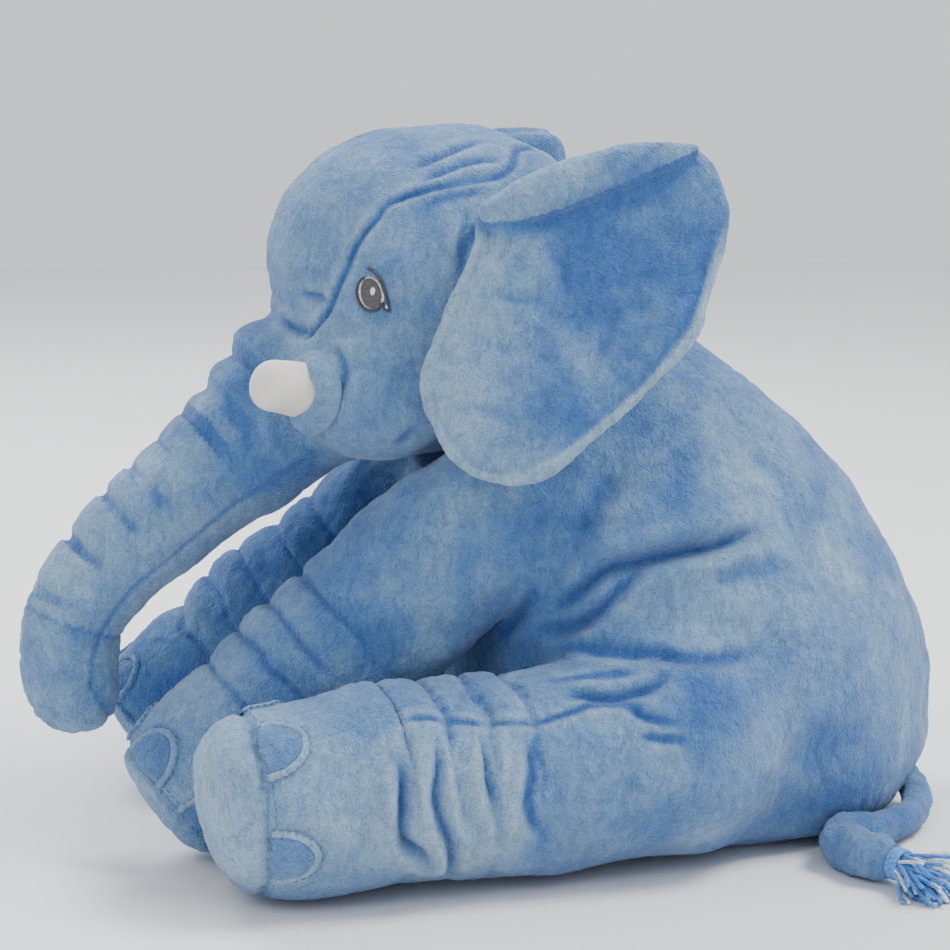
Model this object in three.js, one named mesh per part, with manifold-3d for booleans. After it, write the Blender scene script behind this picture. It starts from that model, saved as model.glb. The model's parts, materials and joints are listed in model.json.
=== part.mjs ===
// Stuffed elephant, sitting, with a turned head, a jointed trunk and loose ears.
// Millimetres, +Z up. The animal faces -Y and its left side is +X.
// Every sewn piece is a cover, an open shell of plush, and the stuffing inside it.

import * as THREE from 'three';
import { ConvexGeometry } from 'three/addons/geometries/ConvexGeometry.js';
import { LoftGeometry } from 'three/addons/geometries/LoftGeometry.js';
import { mergeVertices } from 'three/addons/utils/BufferGeometryUtils.js';
import Module from 'manifold-3d';

const wasm = await Module();
wasm.setup();

// ---------------------------------------------------------------- dimensions

const CLOTH = 2.6;            // pile and backing of the plush, one layer
const GAP = 0.3;              // between pieces that touch
const PLAY = 3.4;             // round a limb that moves in its socket
const TORSO_SIDES = 20;
const LIMB_SIDES = 14;
const SEAT_HEIGHT = 11;       // height of the seam round the seat panel
const WIDE = 400;             // farther than any part of the animal

// The torso is a stack of ellipses: height, centre Y, half length, half width.
const TORSO_LEVELS = [
  [0, 140, 104, 104],
  [14, 138, 130, 130],
  [44, 134, 147, 142],
  [84, 131, 153, 147],
  [124, 126, 151, 143],
  [164, 114, 148, 133],
  [204, 97, 139, 120],
  [238, 82, 121, 103],
  [268, 72, 98, 81],
  [292, 64, 68, 56],
  [306, 60, 26, 22],
];

const HEAD_CENTRE = new THREE.Vector3(0, -20, 329);
const HEAD_RADII = new THREE.Vector3(98, 104, 97);
const CHEEK_CENTRE = new THREE.Vector3(46, -76, 276);
const CHEEK_RADIUS = 43;
const HEAD_TURN = 10;         // degrees the head looks to its left at rest
const NECK = new THREE.Vector3(0, 22, 286);
const NECK_RADIUS = 46;
const NECK_THICKNESS = 15;
const HEAD_PLAY = 4;          // round the head, which nods and turns
const NOD_SWING = { from: -15, to: 2 };
const TURN_SWING = { from: -14, to: 4 };
const GUSSET_HALF_WIDTH = 58; // forehead panel between the two brow seams
const GUSSET_BACK = 30;       // where the forehead panel ends on the crown
const GUSSET_LOW = 296;       // and where it meets the trunk

const TRUNK_SIDES = 11;

// Trunk: three stuffed lengths, each turning about the ball at its upper end.
const TRUNK = [
  { name: 'upper', pivot: [-98, 268], end: [-203, 190], root: 41, tip: 33.5 },
  { name: 'middle', pivot: [-203, 190], end: [-250, 146], root: 32.5, tip: 31 },
  { name: 'lower', pivot: [-250, 146], end: [-252, 88], root: 30, tip: 26 },
];

// Legs: a pivot, the direction of the leg, and radii at distances along it.
const FRONT_LEG = {
  length: 256,
  dome: 12,
  squash: 0.86,
  profile: [[34, 50], [100, 50], [112, 47], [124, 50], [138, 46.5], [150, 49],
    [162, 45.5], [174, 47.5], [186, 44.5], [212, 46], [238, 46]],
  root: 44,
};
const HIND_LEG = {
  length: 252,
  dome: 26,
  squash: 0.9,
  profile: [[50, 60], [88, 58.5], [98, 55], [110, 58], [121, 54.5], [133, 57.5],
    [144, 54], [156, 57], [168, 53.5], [184, 56], [238, 56]],
  root: 63,
};
// Where each leg is sewn on, and the way it points at rest.
const LEG_PLACES = [
  { name: 'leg_front_left', sign: 1, pivot: [80, 5, 208], point: [0.027, -0.745, -0.666] },
  { name: 'leg_front_right', sign: -1, pivot: [-80, -10, 200], point: [-0.01, -0.775, -0.632] },
  { name: 'leg_hind_left', sign: 1, pivot: [128, 102, 70], point: [0.198, -0.979, -0.052] },
  { name: 'leg_hind_right', sign: -1, pivot: [-128, 102, 70], point: [-0.198, -0.979, -0.052] },
];
// How far a leg lifts, in degrees, and how much of its way is outward.
const FRONT_SWING = { from: 0, to: 12, outward: 0.3 };
const HIND_SWING = { from: 0, to: 20, outward: 0.7 };

const ROLL_DEPTH = 1.5;       // the stuffing lies below the sewn rolls
const TOE_HALF_WIDTH = 17;
const TOE_LENGTH = 25;
const TOE_THICKNESS = 1.8;
const TOE_ANGLES = [-28, 45, 118];

const EAR_THICKNESS = 16;
const EAR_CLEAR = 1;          // between an ear and the side of the head
const EAR_ROOT = new THREE.Vector3(101, -14, 384);
const EAR_DOWN = new THREE.Vector3(0.3, -0.1, -0.95).normalize();
const EAR_BACK = new THREE.Vector3(0.42, 0.905, 0.037).normalize();

const TUSK_BASE = new THREE.Vector3(60, -108, 274);
const TUSK_TIP = new THREE.Vector3(72, -154, 284);
const TUSK_RADIUS = 17;

const EYE_CENTRE = new THREE.Vector3(76, -85, 333);
const EYE_GAZE = new THREE.Vector3(0.72, -0.69, 0.03).normalize();
const EYE_RADIUS = 9.5;
const EMBROIDERY = 1.2;       // how far the stitching stands off the cloth

const TAIL_ROOT = new THREE.Vector3(10, 268, 27);
const TAIL_ROUTE = [[0, 0, 0], [34, 9, -7], [78, 2, -13], [116, -30, -13], [146, -58, -13],
  [192, -63, -13]];
const TAIL_RINGS = 11;
const TAIL_SIDES = 10;
const TAIL_SOCKET = 19;       // radius of the hollow round the root of the tail
const TASSEL_LENGTH = 44;
const TASSEL_HEIGHT = 13.2;   // its middle, above the surface

// -------------------------------------------------------------------- colours

const PLUSH = new THREE.Color(0.33, 0.5, 0.72);
const PLUSH_PALE = new THREE.Color(0.42, 0.58, 0.78);
const PLUSH_DEEP = new THREE.Color(0.16, 0.31, 0.55);
const IVORY = new THREE.Color(0.8, 0.77, 0.72);
const FIBREFILL = new THREE.Color(0.86, 0.86, 0.84);
const THREAD = new THREE.Color(0.06, 0.06, 0.08);
const YARN = new THREE.Color(0.2, 0.42, 0.82);

// ------------------------------------------------------------------- booleans

/** A closed three.js geometry as a manifold solid. */
function solid(geometry) {
  const bare = new THREE.BufferGeometry();
  bare.setAttribute('position', geometry.attributes.position);
  bare.setIndex(geometry.index);
  const merged = mergeVertices(bare, 1e-4);
  return new wasm.Manifold(new wasm.Mesh({
    numProp: 3,
    vertProperties: new Float32Array(merged.attributes.position.array),
    triVerts: new Uint32Array(merged.index.array),
  }));
}

/** The largest connected body of a manifold solid, as a three.js geometry. */
function geometryOf(manifold) {
  const bodies = manifold.decompose();
  bodies.sort((a, b) => b.volume() - a.volume());
  const mesh = bodies[0].getMesh();
  const geometry = new THREE.BufferGeometry();
  geometry.setAttribute('position', new THREE.BufferAttribute(mesh.vertProperties, 3));
  geometry.setIndex(new THREE.BufferAttribute(mesh.triVerts, 1));
  geometry.computeVertexNormals();
  return geometry;
}

/** All of the solids joined into one. */
function union(solids) {
  return solids.reduce((whole, part) => whole.add(part));
}

/** The space between two corners, as a solid. */
function block(low, high) {
  const geometry = new THREE.BoxGeometry(high[0] - low[0], high[1] - low[1], high[2] - low[2]);
  geometry.translate((low[0] + high[0]) / 2, (low[1] + high[1]) / 2, (low[2] + high[2]) / 2);
  return solid(geometry);
}

/** The matrix that turns a body about an axis through a point, in degrees. */
function turnMatrix(pivot, axis, degrees) {
  return new THREE.Matrix4().makeTranslation(pivot)
    .multiply(new THREE.Matrix4().makeRotationAxis(axis, THREE.MathUtils.degToRad(degrees)))
    .multiply(new THREE.Matrix4().makeTranslation(pivot.clone().negate()));
}

/** The convex space round some geometries in all of the given poses. */
function roomFor(geometries, matrices) {
  const points = [];
  for (const geometry of geometries) {
    const position = geometry.attributes.position;
    for (const matrix of matrices) {
      for (let i = 0; i < position.count; i += 1) {
        points.push(new THREE.Vector3().fromBufferAttribute(position, i).applyMatrix4(matrix));
      }
    }
  }
  return solid(new ConvexGeometry(points));
}

/** The convex space that a geometry takes up as it turns about an axis. */
function swept(geometry, pivot, axis, from, to) {
  const angles = [from, (from + to) / 2, to];
  return roomFor([geometry], angles.map((angle) => turnMatrix(pivot, axis, angle)));
}

// -------------------------------------------------------------------- helpers

const meshes = [];

/** One named piece of the toy, in one colour. */
function addMesh(name, manifold, colour, roughness = 0.95) {
  const material = new THREE.MeshStandardMaterial({ color: colour, roughness, metalness: 0 });
  const mesh = new THREE.Mesh(geometryOf(manifold), material);
  mesh.name = name;
  meshes.push(mesh);
}

/** The frame whose Y axis runs from a pivot along a direction, X kept level. */
function limbMatrix(pivot, direction, squash = 1) {
  const along = new THREE.Vector3(...direction).normalize();
  const side = new THREE.Vector3(0, 0, 1).cross(along).normalize();
  const up = side.clone().cross(along);
  return new THREE.Matrix4().makeBasis(side.multiplyScalar(squash), along, up).setPosition(pivot);
}

/** A body turned about its own Y axis: a ball at the pivot, then the profile. */
function limbProfile(root, profile, end, grow) {
  const radius = root + grow;
  const points = [];
  for (let angle = -90; angle < 10; angle += 30) {
    const turn = THREE.MathUtils.degToRad(angle);
    points.push(new THREE.Vector2(radius * Math.cos(turn), radius * Math.sin(turn)));
  }
  points[0].x = 0;
  for (const [along, r] of profile) {
    points.push(new THREE.Vector2(r + grow, along));
  }
  const last = profile[profile.length - 1][1] + grow;
  points.push(new THREE.Vector2(last, end));
  return points;
}

function lathe(points, sides = LIMB_SIDES) {
  return solid(new THREE.LatheGeometry(points, sides));
}

function plugged(points) {
  return [...points, new THREE.Vector2(0, points[points.length - 1].y)];
}

// ---------------------------------------------------------------------- torso

function torsoSolid(grow) {
  const sections = TORSO_LEVELS.map(([z, y, halfLength, halfWidth], i) => {
    const level = i === 0 ? z - grow : (i === TORSO_LEVELS.length - 1 ? z + grow : z);
    const ring = [];
    for (let j = 0; j < TORSO_SIDES; j += 1) {
      const angle = j / TORSO_SIDES * Math.PI * 2;
      ring.push(new THREE.Vector3(
        (halfWidth + grow) * Math.cos(angle),
        y + (halfLength + grow) * Math.sin(angle),
        level,
      ));
    }
    return ring;
  });
  return solid(new LoftGeometry(sections, { closed: true, capStart: true, capEnd: true }));
}

// ----------------------------------------------------------------------- head

function headSolid(grow) {
  const skull = new THREE.SphereGeometry(1, 20, 12).rotateX(Math.PI / 2);
  skull.scale(HEAD_RADII.x + grow, HEAD_RADII.y + grow, HEAD_RADII.z + grow);
  skull.translate(HEAD_CENTRE.x, HEAD_CENTRE.y, HEAD_CENTRE.z);
  const parts = [solid(skull)];
  for (const side of [1, -1]) {
    const cheek = new THREE.SphereGeometry(CHEEK_RADIUS + grow, 12, 8);
    cheek.translate(side * CHEEK_CENTRE.x, CHEEK_CENTRE.y, CHEEK_CENTRE.z);
    parts.push(solid(cheek));
  }
  return union(parts);
}

const UP = new THREE.Vector3(0, 0, 1);
const ACROSS = new THREE.Vector3(1, 0, 0);
const headPivot = new THREE.Vector3(NECK.x, NECK.y, 0);

/** A solid built looking straight ahead, turned to where the head looks. */
function lookLeft(body) {
  return body.transform(turnMatrix(headPivot, UP, HEAD_TURN).elements);
}

function neckGeometry(grow) {
  const half = NECK_THICKNESS / 2 + grow;
  const radius = NECK_RADIUS + grow;
  const disc = new THREE.LatheGeometry([
    new THREE.Vector2(0, -half),
    new THREE.Vector2(radius - 6, -half),
    new THREE.Vector2(radius, 0),
    new THREE.Vector2(radius - 6, half),
    new THREE.Vector2(0, half),
  ], 20);
  return disc.rotateX(Math.PI / 2).translate(NECK.x, NECK.y, NECK.z);
}

/** The hollow in the shoulders that the head nods and turns in. */
function headRoom() {
  const skull = new THREE.SphereGeometry(1, 16, 10).rotateX(Math.PI / 2);
  skull.scale(HEAD_RADII.x + HEAD_PLAY, HEAD_RADII.y + HEAD_PLAY, HEAD_RADII.z + HEAD_PLAY);
  skull.translate(HEAD_CENTRE.x, HEAD_CENTRE.y, HEAD_CENTRE.z);
  const chin = new THREE.SphereGeometry(CHEEK_RADIUS + HEAD_PLAY, 12, 8).scale(2, 1, 1);
  chin.translate(0, CHEEK_CENTRE.y, CHEEK_CENTRE.z);
  const poses = [];
  for (const nod of [NOD_SWING.from, NOD_SWING.to]) {
    for (const turn of [TURN_SWING.from, TURN_SWING.to]) {
      poses.push(turnMatrix(NECK, UP, HEAD_TURN + turn).multiply(turnMatrix(NECK, ACROSS, nod)));
    }
  }
  return roomFor([skull, chin], poses);
}

// ----------------------------------------------------------------------- legs

function legs() {
  return LEG_PLACES.map(({ name, sign, pivot: [x, y, z], point }) => {
    const front = name.includes('front');
    const leg = front ? FRONT_LEG : HIND_LEG;
    const swing = front ? FRONT_SWING : HIND_SWING;
    const pivot = new THREE.Vector3(x, y, z);
    const matrix = limbMatrix(pivot, point, leg.squash);
    const along = new THREE.Vector3(...point).normalize();
    const travel = UP.clone().addScaledVector(along, -UP.dot(along)).normalize();
    travel.multiplyScalar(Math.sqrt(1 - swing.outward ** 2));
    travel.x += sign * swing.outward;
    const axis = along.clone().cross(travel).normalize();
    return { name, sign, leg, pivot, matrix, axis, swing };
  });
}

/** The first and last radii of a limb, without the rolls between them. */
function plain(profile, thinner = 0) {
  return [profile[0], profile[profile.length - 1]].map(([along, r]) => [along, r - thinner]);
}

function legRoom({ leg, pivot, matrix, axis, swing }) {
  const outline = plugged(limbProfile(leg.root, plain(leg.profile), leg.length + leg.dome, PLAY));
  const body = new THREE.LatheGeometry(outline, 10).applyMatrix4(matrix);
  return swept(body, pivot, axis, swing.from, swing.to);
}

function toePrism(angle) {
  const outline = new THREE.Shape();
  outline.moveTo(-TOE_HALF_WIDTH, 0);
  outline.lineTo(TOE_HALF_WIDTH, 0);
  outline.absellipse(0, 0, TOE_HALF_WIDTH, TOE_LENGTH, 0, Math.PI, false, 0);
  const prism = new THREE.ExtrudeGeometry(outline, {
    depth: 70, bevelEnabled: false, curveSegments: 6,
  });
  prism.rotateX(Math.PI);
  prism.translate(0, 0, 90);
  prism.rotateY(THREE.MathUtils.degToRad(angle));
  return prism;
}

function addLeg(place) {
  const { name, leg, matrix, sign } = place;
  const outer = limbProfile(leg.root, leg.profile, leg.length, 0);
  const lining = plain(leg.profile, ROLL_DEPTH);
  const inner = limbProfile(leg.root, lining, leg.length, -CLOTH);
  const cover = lathe([...outer, ...inner.reverse()]);
  addMesh(`${name}_cover`, cover.transform(matrix.elements), PLUSH);

  const core = limbProfile(leg.root, lining, leg.length - GAP, -CLOTH - GAP);
  addMesh(`${name}_stuffing`, lathe(plugged(core)).transform(matrix.elements), FIBREFILL);

  const rim = leg.profile[leg.profile.length - 1][1];
  const sole = [new THREE.Vector2(0, leg.length + GAP)];
  for (let angle = 0; angle < 90; angle += 18) {
    const turn = THREE.MathUtils.degToRad(angle);
    sole.push(new THREE.Vector2(
      rim * Math.cos(turn),
      leg.length + GAP + 2 + (leg.dome - 2) * Math.sin(turn),
    ));
  }
  sole.splice(1, 0, new THREE.Vector2(rim, leg.length + GAP));
  sole.push(new THREE.Vector2(0, leg.length + GAP + leg.dome));
  addMesh(`${name}_sole`, lathe(sole).transform(matrix.elements), PLUSH_PALE);

  const under = lathe(plugged(limbProfile(leg.root, leg.profile, leg.length, GAP)));
  const over = lathe(plugged(limbProfile(leg.root, leg.profile, leg.length, GAP + TOE_THICKNESS)));
  const skin = over.subtract(under);
  TOE_ANGLES.forEach((angle, i) => {
    const prism = toePrism(sign * angle).translate(0, leg.length - 1, 0);
    const toe = skin.intersect(solid(prism));
    addMesh(`${name}_toe_${i + 1}`, toe.transform(matrix.elements), PLUSH_DEEP);
  });
}

// ---------------------------------------------------------------------- trunk

function trunkPlace({ pivot, end }) {
  const start = new THREE.Vector3(0, ...pivot);
  const stop = new THREE.Vector3(0, ...end);
  const direction = stop.clone().sub(start);
  const length = direction.length();
  const turn = new THREE.Quaternion().setFromUnitVectors(
    new THREE.Vector3(0, 1, 0),
    direction.normalize(),
  );
  const matrix = new THREE.Matrix4().makeRotationFromQuaternion(turn).setPosition(start);
  return { start, length, matrix };
}

function trunkOutline(part, length, grow) {
  const profile = [
    [part.root * 0.6, part.root * 0.4 + part.tip * 0.6],
    [length * 0.8, part.tip],
  ];
  return limbProfile(part.root, profile, length, grow);
}

function trunkRoom(part, from, to) {
  const { start, length, matrix } = trunkPlace(part);
  const body = new THREE.LatheGeometry(plugged(trunkOutline(part, length, PLAY)), 10);
  return swept(body.applyMatrix4(matrix), start, ACROSS, from, to);
}

const TRUNK_SWING = { upper: [-20, 0], middle: [-28, 0], lower: [-32, 0] };

function addTrunk() {
  TRUNK.forEach((part, i) => {
    const { length, matrix } = trunkPlace(part);
    const outer = trunkOutline(part, length, 0);
    const inner = trunkOutline(part, length, -CLOTH).reverse();
    let cover = lathe([...outer, ...inner], TRUNK_SIDES).transform(matrix.elements);
    let core = lathe(plugged(trunkOutline(part, length - GAP, -CLOTH - GAP)), TRUNK_SIDES)
      .transform(matrix.elements);
    const next = TRUNK[i + 1];
    if (next) {
      const room = trunkRoom(next, ...TRUNK_SWING[next.name]);
      cover = cover.subtract(room);
      core = core.subtract(room);
    }
    addMesh(`trunk_${part.name}_cover`, lookLeft(cover), PLUSH);
    addMesh(`trunk_${part.name}_stuffing`, lookLeft(core), FIBREFILL);
  });
  const last = TRUNK[TRUNK.length - 1];
  const { length, matrix } = trunkPlace(last);
  const cap = [new THREE.Vector2(0, length + GAP), new THREE.Vector2(last.tip, length + GAP)];
  cap.push(new THREE.Vector2(last.tip * 0.92, length + 6));
  cap.push(new THREE.Vector2(last.tip * 0.6, length + 10));
  cap.push(new THREE.Vector2(0, length + 11));
  const panel = lathe(cap, TRUNK_SIDES).transform(matrix.elements);
  addMesh('trunk_end_panel', lookLeft(panel), PLUSH_PALE);
}

// ----------------------------------------------------------------------- ears

/** The petal of one ear, X towards the back edge and Y down, from the root. */
function earOutline(inset) {
  const outline = new THREE.Shape();
  const s = inset;
  outline.moveTo(-16 + s, 6 + s);
  outline.bezierCurveTo(20, -8 + s, 60, -26 + s, 92, -30 + s);
  outline.bezierCurveTo(112 - s, -28 + s, 120 - s, -4, 112 - s, 24);
  outline.bezierCurveTo(104 - s, 70, 84 - s, 112, 44, 140 - s);
  outline.bezierCurveTo(16, 160 - s, -16, 172 - s, -30, 152 - s);
  outline.bezierCurveTo(-48 + s, 130, -56 + s, 104, -46 + s, 74);
  outline.bezierCurveTo(-40 + s, 48, -28 + s, 20, -16 + s, 6 + s);
  return outline;
}

/** One layer of an ear, between two depths measured towards the head. */
function earLayer(side, inset, near, far) {
  const layer = new THREE.ExtrudeGeometry(earOutline(inset), {
    depth: far - near, bevelEnabled: false, curveSegments: 6,
  });
  layer.translate(0, 0, near);
  const inward = EAR_BACK.clone().cross(EAR_DOWN).normalize();
  const down = inward.clone().cross(EAR_BACK);
  layer.applyMatrix4(new THREE.Matrix4().makeBasis(EAR_BACK, down, inward).setPosition(EAR_ROOT));
  const body = solid(layer).subtract(headSolid(EAR_CLEAR));
  return side < 0 ? body.mirror([1, 0, 0]) : body;
}

function addEar(name, side) {
  const half = EAR_THICKNESS / 2;
  const layers = [
    ['front_cloth', 0, -half, -half + CLOTH, PLUSH],
    ['batting', 4, -half + CLOTH + GAP, half - CLOTH - GAP, FIBREFILL],
    ['back_cloth', 0, half - CLOTH, half, PLUSH_PALE],
  ];
  for (const [layer, inset, near, far, colour] of layers) {
    addMesh(`${name}_${layer}`, lookLeft(earLayer(side, inset, near, far)), colour);
  }
}

// ---------------------------------------------------------------- face pieces

/** A lathe body whose axis runs from one point to another, mirrored if asked. */
function between(points, from, to, side, sides) {
  const turn = new THREE.Quaternion().setFromUnitVectors(
    new THREE.Vector3(0, 1, 0),
    to.clone().sub(from).normalize(),
  );
  const matrix = new THREE.Matrix4().compose(from, turn, new THREE.Vector3(1, 1, 1));
  const body = lathe(points, sides).transform(matrix.elements);
  return side < 0 ? body.mirror([1, 0, 0]) : body;
}

function tuskOutline(grow) {
  const length = TUSK_BASE.distanceTo(TUSK_TIP) - 10;
  const radius = TUSK_RADIUS + grow;
  const points = [new THREE.Vector2(0, -14), new THREE.Vector2(radius, -14)];
  points.push(new THREE.Vector2(radius, length * 0.4));
  for (let angle = 10; angle < 90; angle += 28) {
    const turn = THREE.MathUtils.degToRad(angle);
    points.push(new THREE.Vector2(
      (radius - 3) * Math.cos(turn),
      length + (10 + grow) * Math.sin(turn),
    ));
  }
  points.push(new THREE.Vector2(0, length + 10 + grow));
  return points;
}

function addFace() {
  const clearHead = headSolid(GAP);
  const eyeSkin = headSolid(GAP + EMBROIDERY).subtract(clearHead);
  for (const [name, side] of [['left', 1], ['right', -1]]) {
    const tusk = between(tuskOutline(0), TUSK_BASE, TUSK_TIP, side, 10);
    const core = between(tuskOutline(-1.5), TUSK_BASE, TUSK_TIP, side, 10);
    const coreRoom = between(tuskOutline(-1.5 + GAP), TUSK_BASE, TUSK_TIP, side, 10);
    const shell = tusk.subtract(coreRoom);
    addMesh(`tusk_${name}_felt`, lookLeft(shell.subtract(clearHead)), IVORY, 0.9);
    addMesh(`tusk_${name}_stuffing`, lookLeft(core.subtract(clearHead)), FIBREFILL);

    const collar = between([
      new THREE.Vector2(TUSK_RADIUS + GAP, -6),
      new THREE.Vector2(TUSK_RADIUS + 9, -6),
      new THREE.Vector2(TUSK_RADIUS + 7, 8),
      new THREE.Vector2(TUSK_RADIUS + GAP, 10),
      new THREE.Vector2(TUSK_RADIUS + GAP, -6),
    ], TUSK_BASE, TUSK_TIP, side, 10);
    const trunk = trunkRoom(TRUNK[0], ...TRUNK_SWING.upper);
    const pocket = collar.subtract(clearHead).subtract(trunk);
    addMesh(`tusk_${name}_pocket`, lookLeft(pocket), PLUSH_DEEP);

    const oval = new THREE.CylinderGeometry(EYE_RADIUS, EYE_RADIUS, 60, 20).scale(1, 1, 1.25);
    const facing = new THREE.Vector3(0, 1, 0);
    oval.applyQuaternion(new THREE.Quaternion().setFromUnitVectors(facing, EYE_GAZE));
    oval.translate(EYE_CENTRE.x, EYE_CENTRE.y, EYE_CENTRE.z);
    const eye = eyeSkin.intersect(side < 0 ? solid(oval).mirror([1, 0, 0]) : solid(oval));
    addMesh(`eye_${name}_embroidery`, lookLeft(eye), THREAD, 0.55);
  }
}

// ----------------------------------------------------------------------- tail

/** The tail lies on the surface and curves round the rump, thick end first. */
function tailBody(grow) {
  const stops = TAIL_ROUTE.map((stop) => new THREE.Vector3(...stop).add(TAIL_ROOT));
  const route = new THREE.CatmullRomCurve3(stops);
  const frames = route.computeFrenetFrames(TAIL_RINGS, false);
  const sections = [];
  for (let i = 0; i <= TAIL_RINGS; i += 1) {
    const t = i / TAIL_RINGS;
    const centre = route.getPointAt(t);
    const radius = (t < 0.05 ? 6 : 10 + 3 * Math.sin(Math.PI * t)) + grow;
    const side = UP.clone().cross(frames.tangents[i]).normalize();
    const ring = [];
    for (let j = 0; j < TAIL_SIDES; j += 1) {
      const angle = j / TAIL_SIDES * Math.PI * 2;
      ring.push(centre.clone()
        .addScaledVector(side, radius * Math.cos(angle) * 1.15)
        .addScaledVector(UP, radius * Math.sin(angle)));
    }
    sections.push(ring);
  }
  const body = solid(new LoftGeometry(sections, { closed: true, capStart: true, capEnd: true }));
  return { body, tip: route.getPointAt(1), tangent: frames.tangents[TAIL_RINGS] };
}

/** The hollow in the rump that the tail lies in and swings from. */
function tailRoom() {
  const socket = new THREE.SphereGeometry(TAIL_SOCKET, 12, 8);
  socket.translate(TAIL_ROOT.x, TAIL_ROOT.y, TAIL_ROOT.z);
  return tailBody(PLAY).body.add(solid(socket));
}

function addTail() {
  const { body, tip, tangent } = tailBody(0);
  const end = tip.x - 3;
  const cover = body.subtract(tailBody(-CLOTH).body);
  addMesh('tail_cover', cover.trimByPlane([-1, 0, 0], -end), PLUSH);
  const core = tailBody(-CLOTH - GAP).body;
  addMesh('tail_stuffing', core.trimByPlane([-1, 0, 0], -end), FIBREFILL);

  const strands = lathe([
    new THREE.Vector2(0, 0),
    new THREE.Vector2(9, 0),
    new THREE.Vector2(11, 8),
    new THREE.Vector2(9, 14),
    new THREE.Vector2(13, TASSEL_LENGTH * 0.7),
    new THREE.Vector2(11, TASSEL_LENGTH),
    new THREE.Vector2(0, TASSEL_LENGTH),
  ], LIMB_SIDES);
  const level = new THREE.Vector3(tangent.x, tangent.y, 0).normalize();
  level.lerp(new THREE.Vector3(0.1, 1, 0), 0.6).normalize();
  const turn = new THREE.Quaternion().setFromUnitVectors(new THREE.Vector3(0, 1, 0), level);
  const matrix = new THREE.Matrix4().makeRotationFromQuaternion(turn);
  matrix.setPosition(tip.x, tip.y, TASSEL_HEIGHT);
  const tassel = strands.transform(matrix.elements).subtract(body);
  addMesh('tail_tassel', tassel.trimByPlane([1, 0, 0], end + GAP), YARN);
}

// ------------------------------------------------------------------- assembly

/** One side of the animal, from its middle seam outwards: 1 left, -1 right. */
function sideSpace(side) {
  const seam = GAP / 2;
  return side > 0 ? block([seam, -WIDE, 0], [WIDE, WIDE, WIDE * 2])
    : block([-WIDE, -WIDE, 0], [-seam, WIDE, WIDE * 2]);
}

function addTorso(places) {
  const rooms = [headRoom(), solid(neckGeometry(GAP)), tailRoom(), ...places.map(legRoom)];
  const pockets = union(rooms);
  const shell = torsoSolid(0).subtract(torsoSolid(-CLOTH)).subtract(pockets);
  const sides = shell.trimByPlane([0, 0, 1], SEAT_HEIGHT + GAP);
  addMesh('torso_side_left', sides.intersect(sideSpace(1)), PLUSH);
  addMesh('torso_side_right', sides.intersect(sideSpace(-1)), PLUSH);
  addMesh('torso_seat_panel', shell.trimByPlane([0, 0, -1], -SEAT_HEIGHT), PLUSH_PALE);
  addMesh('torso_stuffing', torsoSolid(-CLOTH - GAP).subtract(pockets), FIBREFILL);
}

function addHead() {
  const neckRoom = swept(neckGeometry(PLAY), NECK, ACROSS, -NOD_SWING.to, -NOD_SWING.from);
  const pockets = neckRoom.add(trunkRoom(TRUNK[0], ...TRUNK_SWING.upper));
  const shell = headSolid(0).subtract(headSolid(-CLOTH)).subtract(pockets);
  const half = GUSSET_HALF_WIDTH;
  const gusset = block([-half, -WIDE, GUSSET_LOW], [half, GUSSET_BACK, WIDE * 2]);
  const opening = block(
    [-half - GAP, -WIDE, GUSSET_LOW - GAP],
    [half + GAP, GUSSET_BACK + GAP, WIDE * 2],
  );
  const sides = shell.subtract(opening);
  addMesh('head_side_left', lookLeft(sides.intersect(sideSpace(1))), PLUSH);
  addMesh('head_side_right', lookLeft(sides.intersect(sideSpace(-1))), PLUSH);
  addMesh('head_forehead_gusset', lookLeft(shell.intersect(gusset)), PLUSH_PALE);
  addMesh('head_stuffing', lookLeft(headSolid(-CLOTH - GAP).subtract(pockets)), FIBREFILL);
}

const places = legs();
addTorso(places);
addMesh('neck_stuffing', solid(neckGeometry(0)), FIBREFILL);
addHead();
addFace();
addTrunk();
addEar('ear_left', 1);
addEar('ear_right', -1);
for (const place of places) {
  addLeg(place);
}
addTail();

const elephant = new THREE.Group();
elephant.add(...meshes);

// The origin is under the middle of the whole animal, on the surface it sits on.
const box = new THREE.Box3().setFromObject(elephant);
const middle = box.getCenter(new THREE.Vector3());
elephant.position.set(-middle.x, -middle.y, -box.min.z);

export default elephant;
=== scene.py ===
"""Stuffed elephant: the looks of every sewn piece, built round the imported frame."""

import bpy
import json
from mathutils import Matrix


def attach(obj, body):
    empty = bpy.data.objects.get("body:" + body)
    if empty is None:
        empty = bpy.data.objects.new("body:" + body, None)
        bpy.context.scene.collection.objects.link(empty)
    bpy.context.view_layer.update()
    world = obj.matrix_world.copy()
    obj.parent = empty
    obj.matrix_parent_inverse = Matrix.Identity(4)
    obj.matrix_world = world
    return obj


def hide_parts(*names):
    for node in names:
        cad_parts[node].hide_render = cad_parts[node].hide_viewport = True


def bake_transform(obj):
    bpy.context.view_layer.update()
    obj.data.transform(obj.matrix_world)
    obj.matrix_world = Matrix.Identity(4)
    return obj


bl_info = {
    "name": "Stuffed elephant",
    "version": (1, 0, 0),
    "blender": (4, 5, 0),
    "location": "View3D > Sidebar > Elephant",
    "description": "Builds the plush, felt, embroidery and yarn of a sitting stuffed elephant",
    "category": "Object",
}

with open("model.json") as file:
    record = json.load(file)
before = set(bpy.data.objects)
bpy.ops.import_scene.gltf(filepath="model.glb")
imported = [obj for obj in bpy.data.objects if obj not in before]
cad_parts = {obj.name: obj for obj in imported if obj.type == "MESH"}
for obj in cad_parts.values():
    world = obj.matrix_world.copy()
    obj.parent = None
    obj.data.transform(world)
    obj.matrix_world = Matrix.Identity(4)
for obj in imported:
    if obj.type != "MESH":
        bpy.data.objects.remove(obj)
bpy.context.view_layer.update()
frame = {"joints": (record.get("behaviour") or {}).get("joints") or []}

import json
import math

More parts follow.
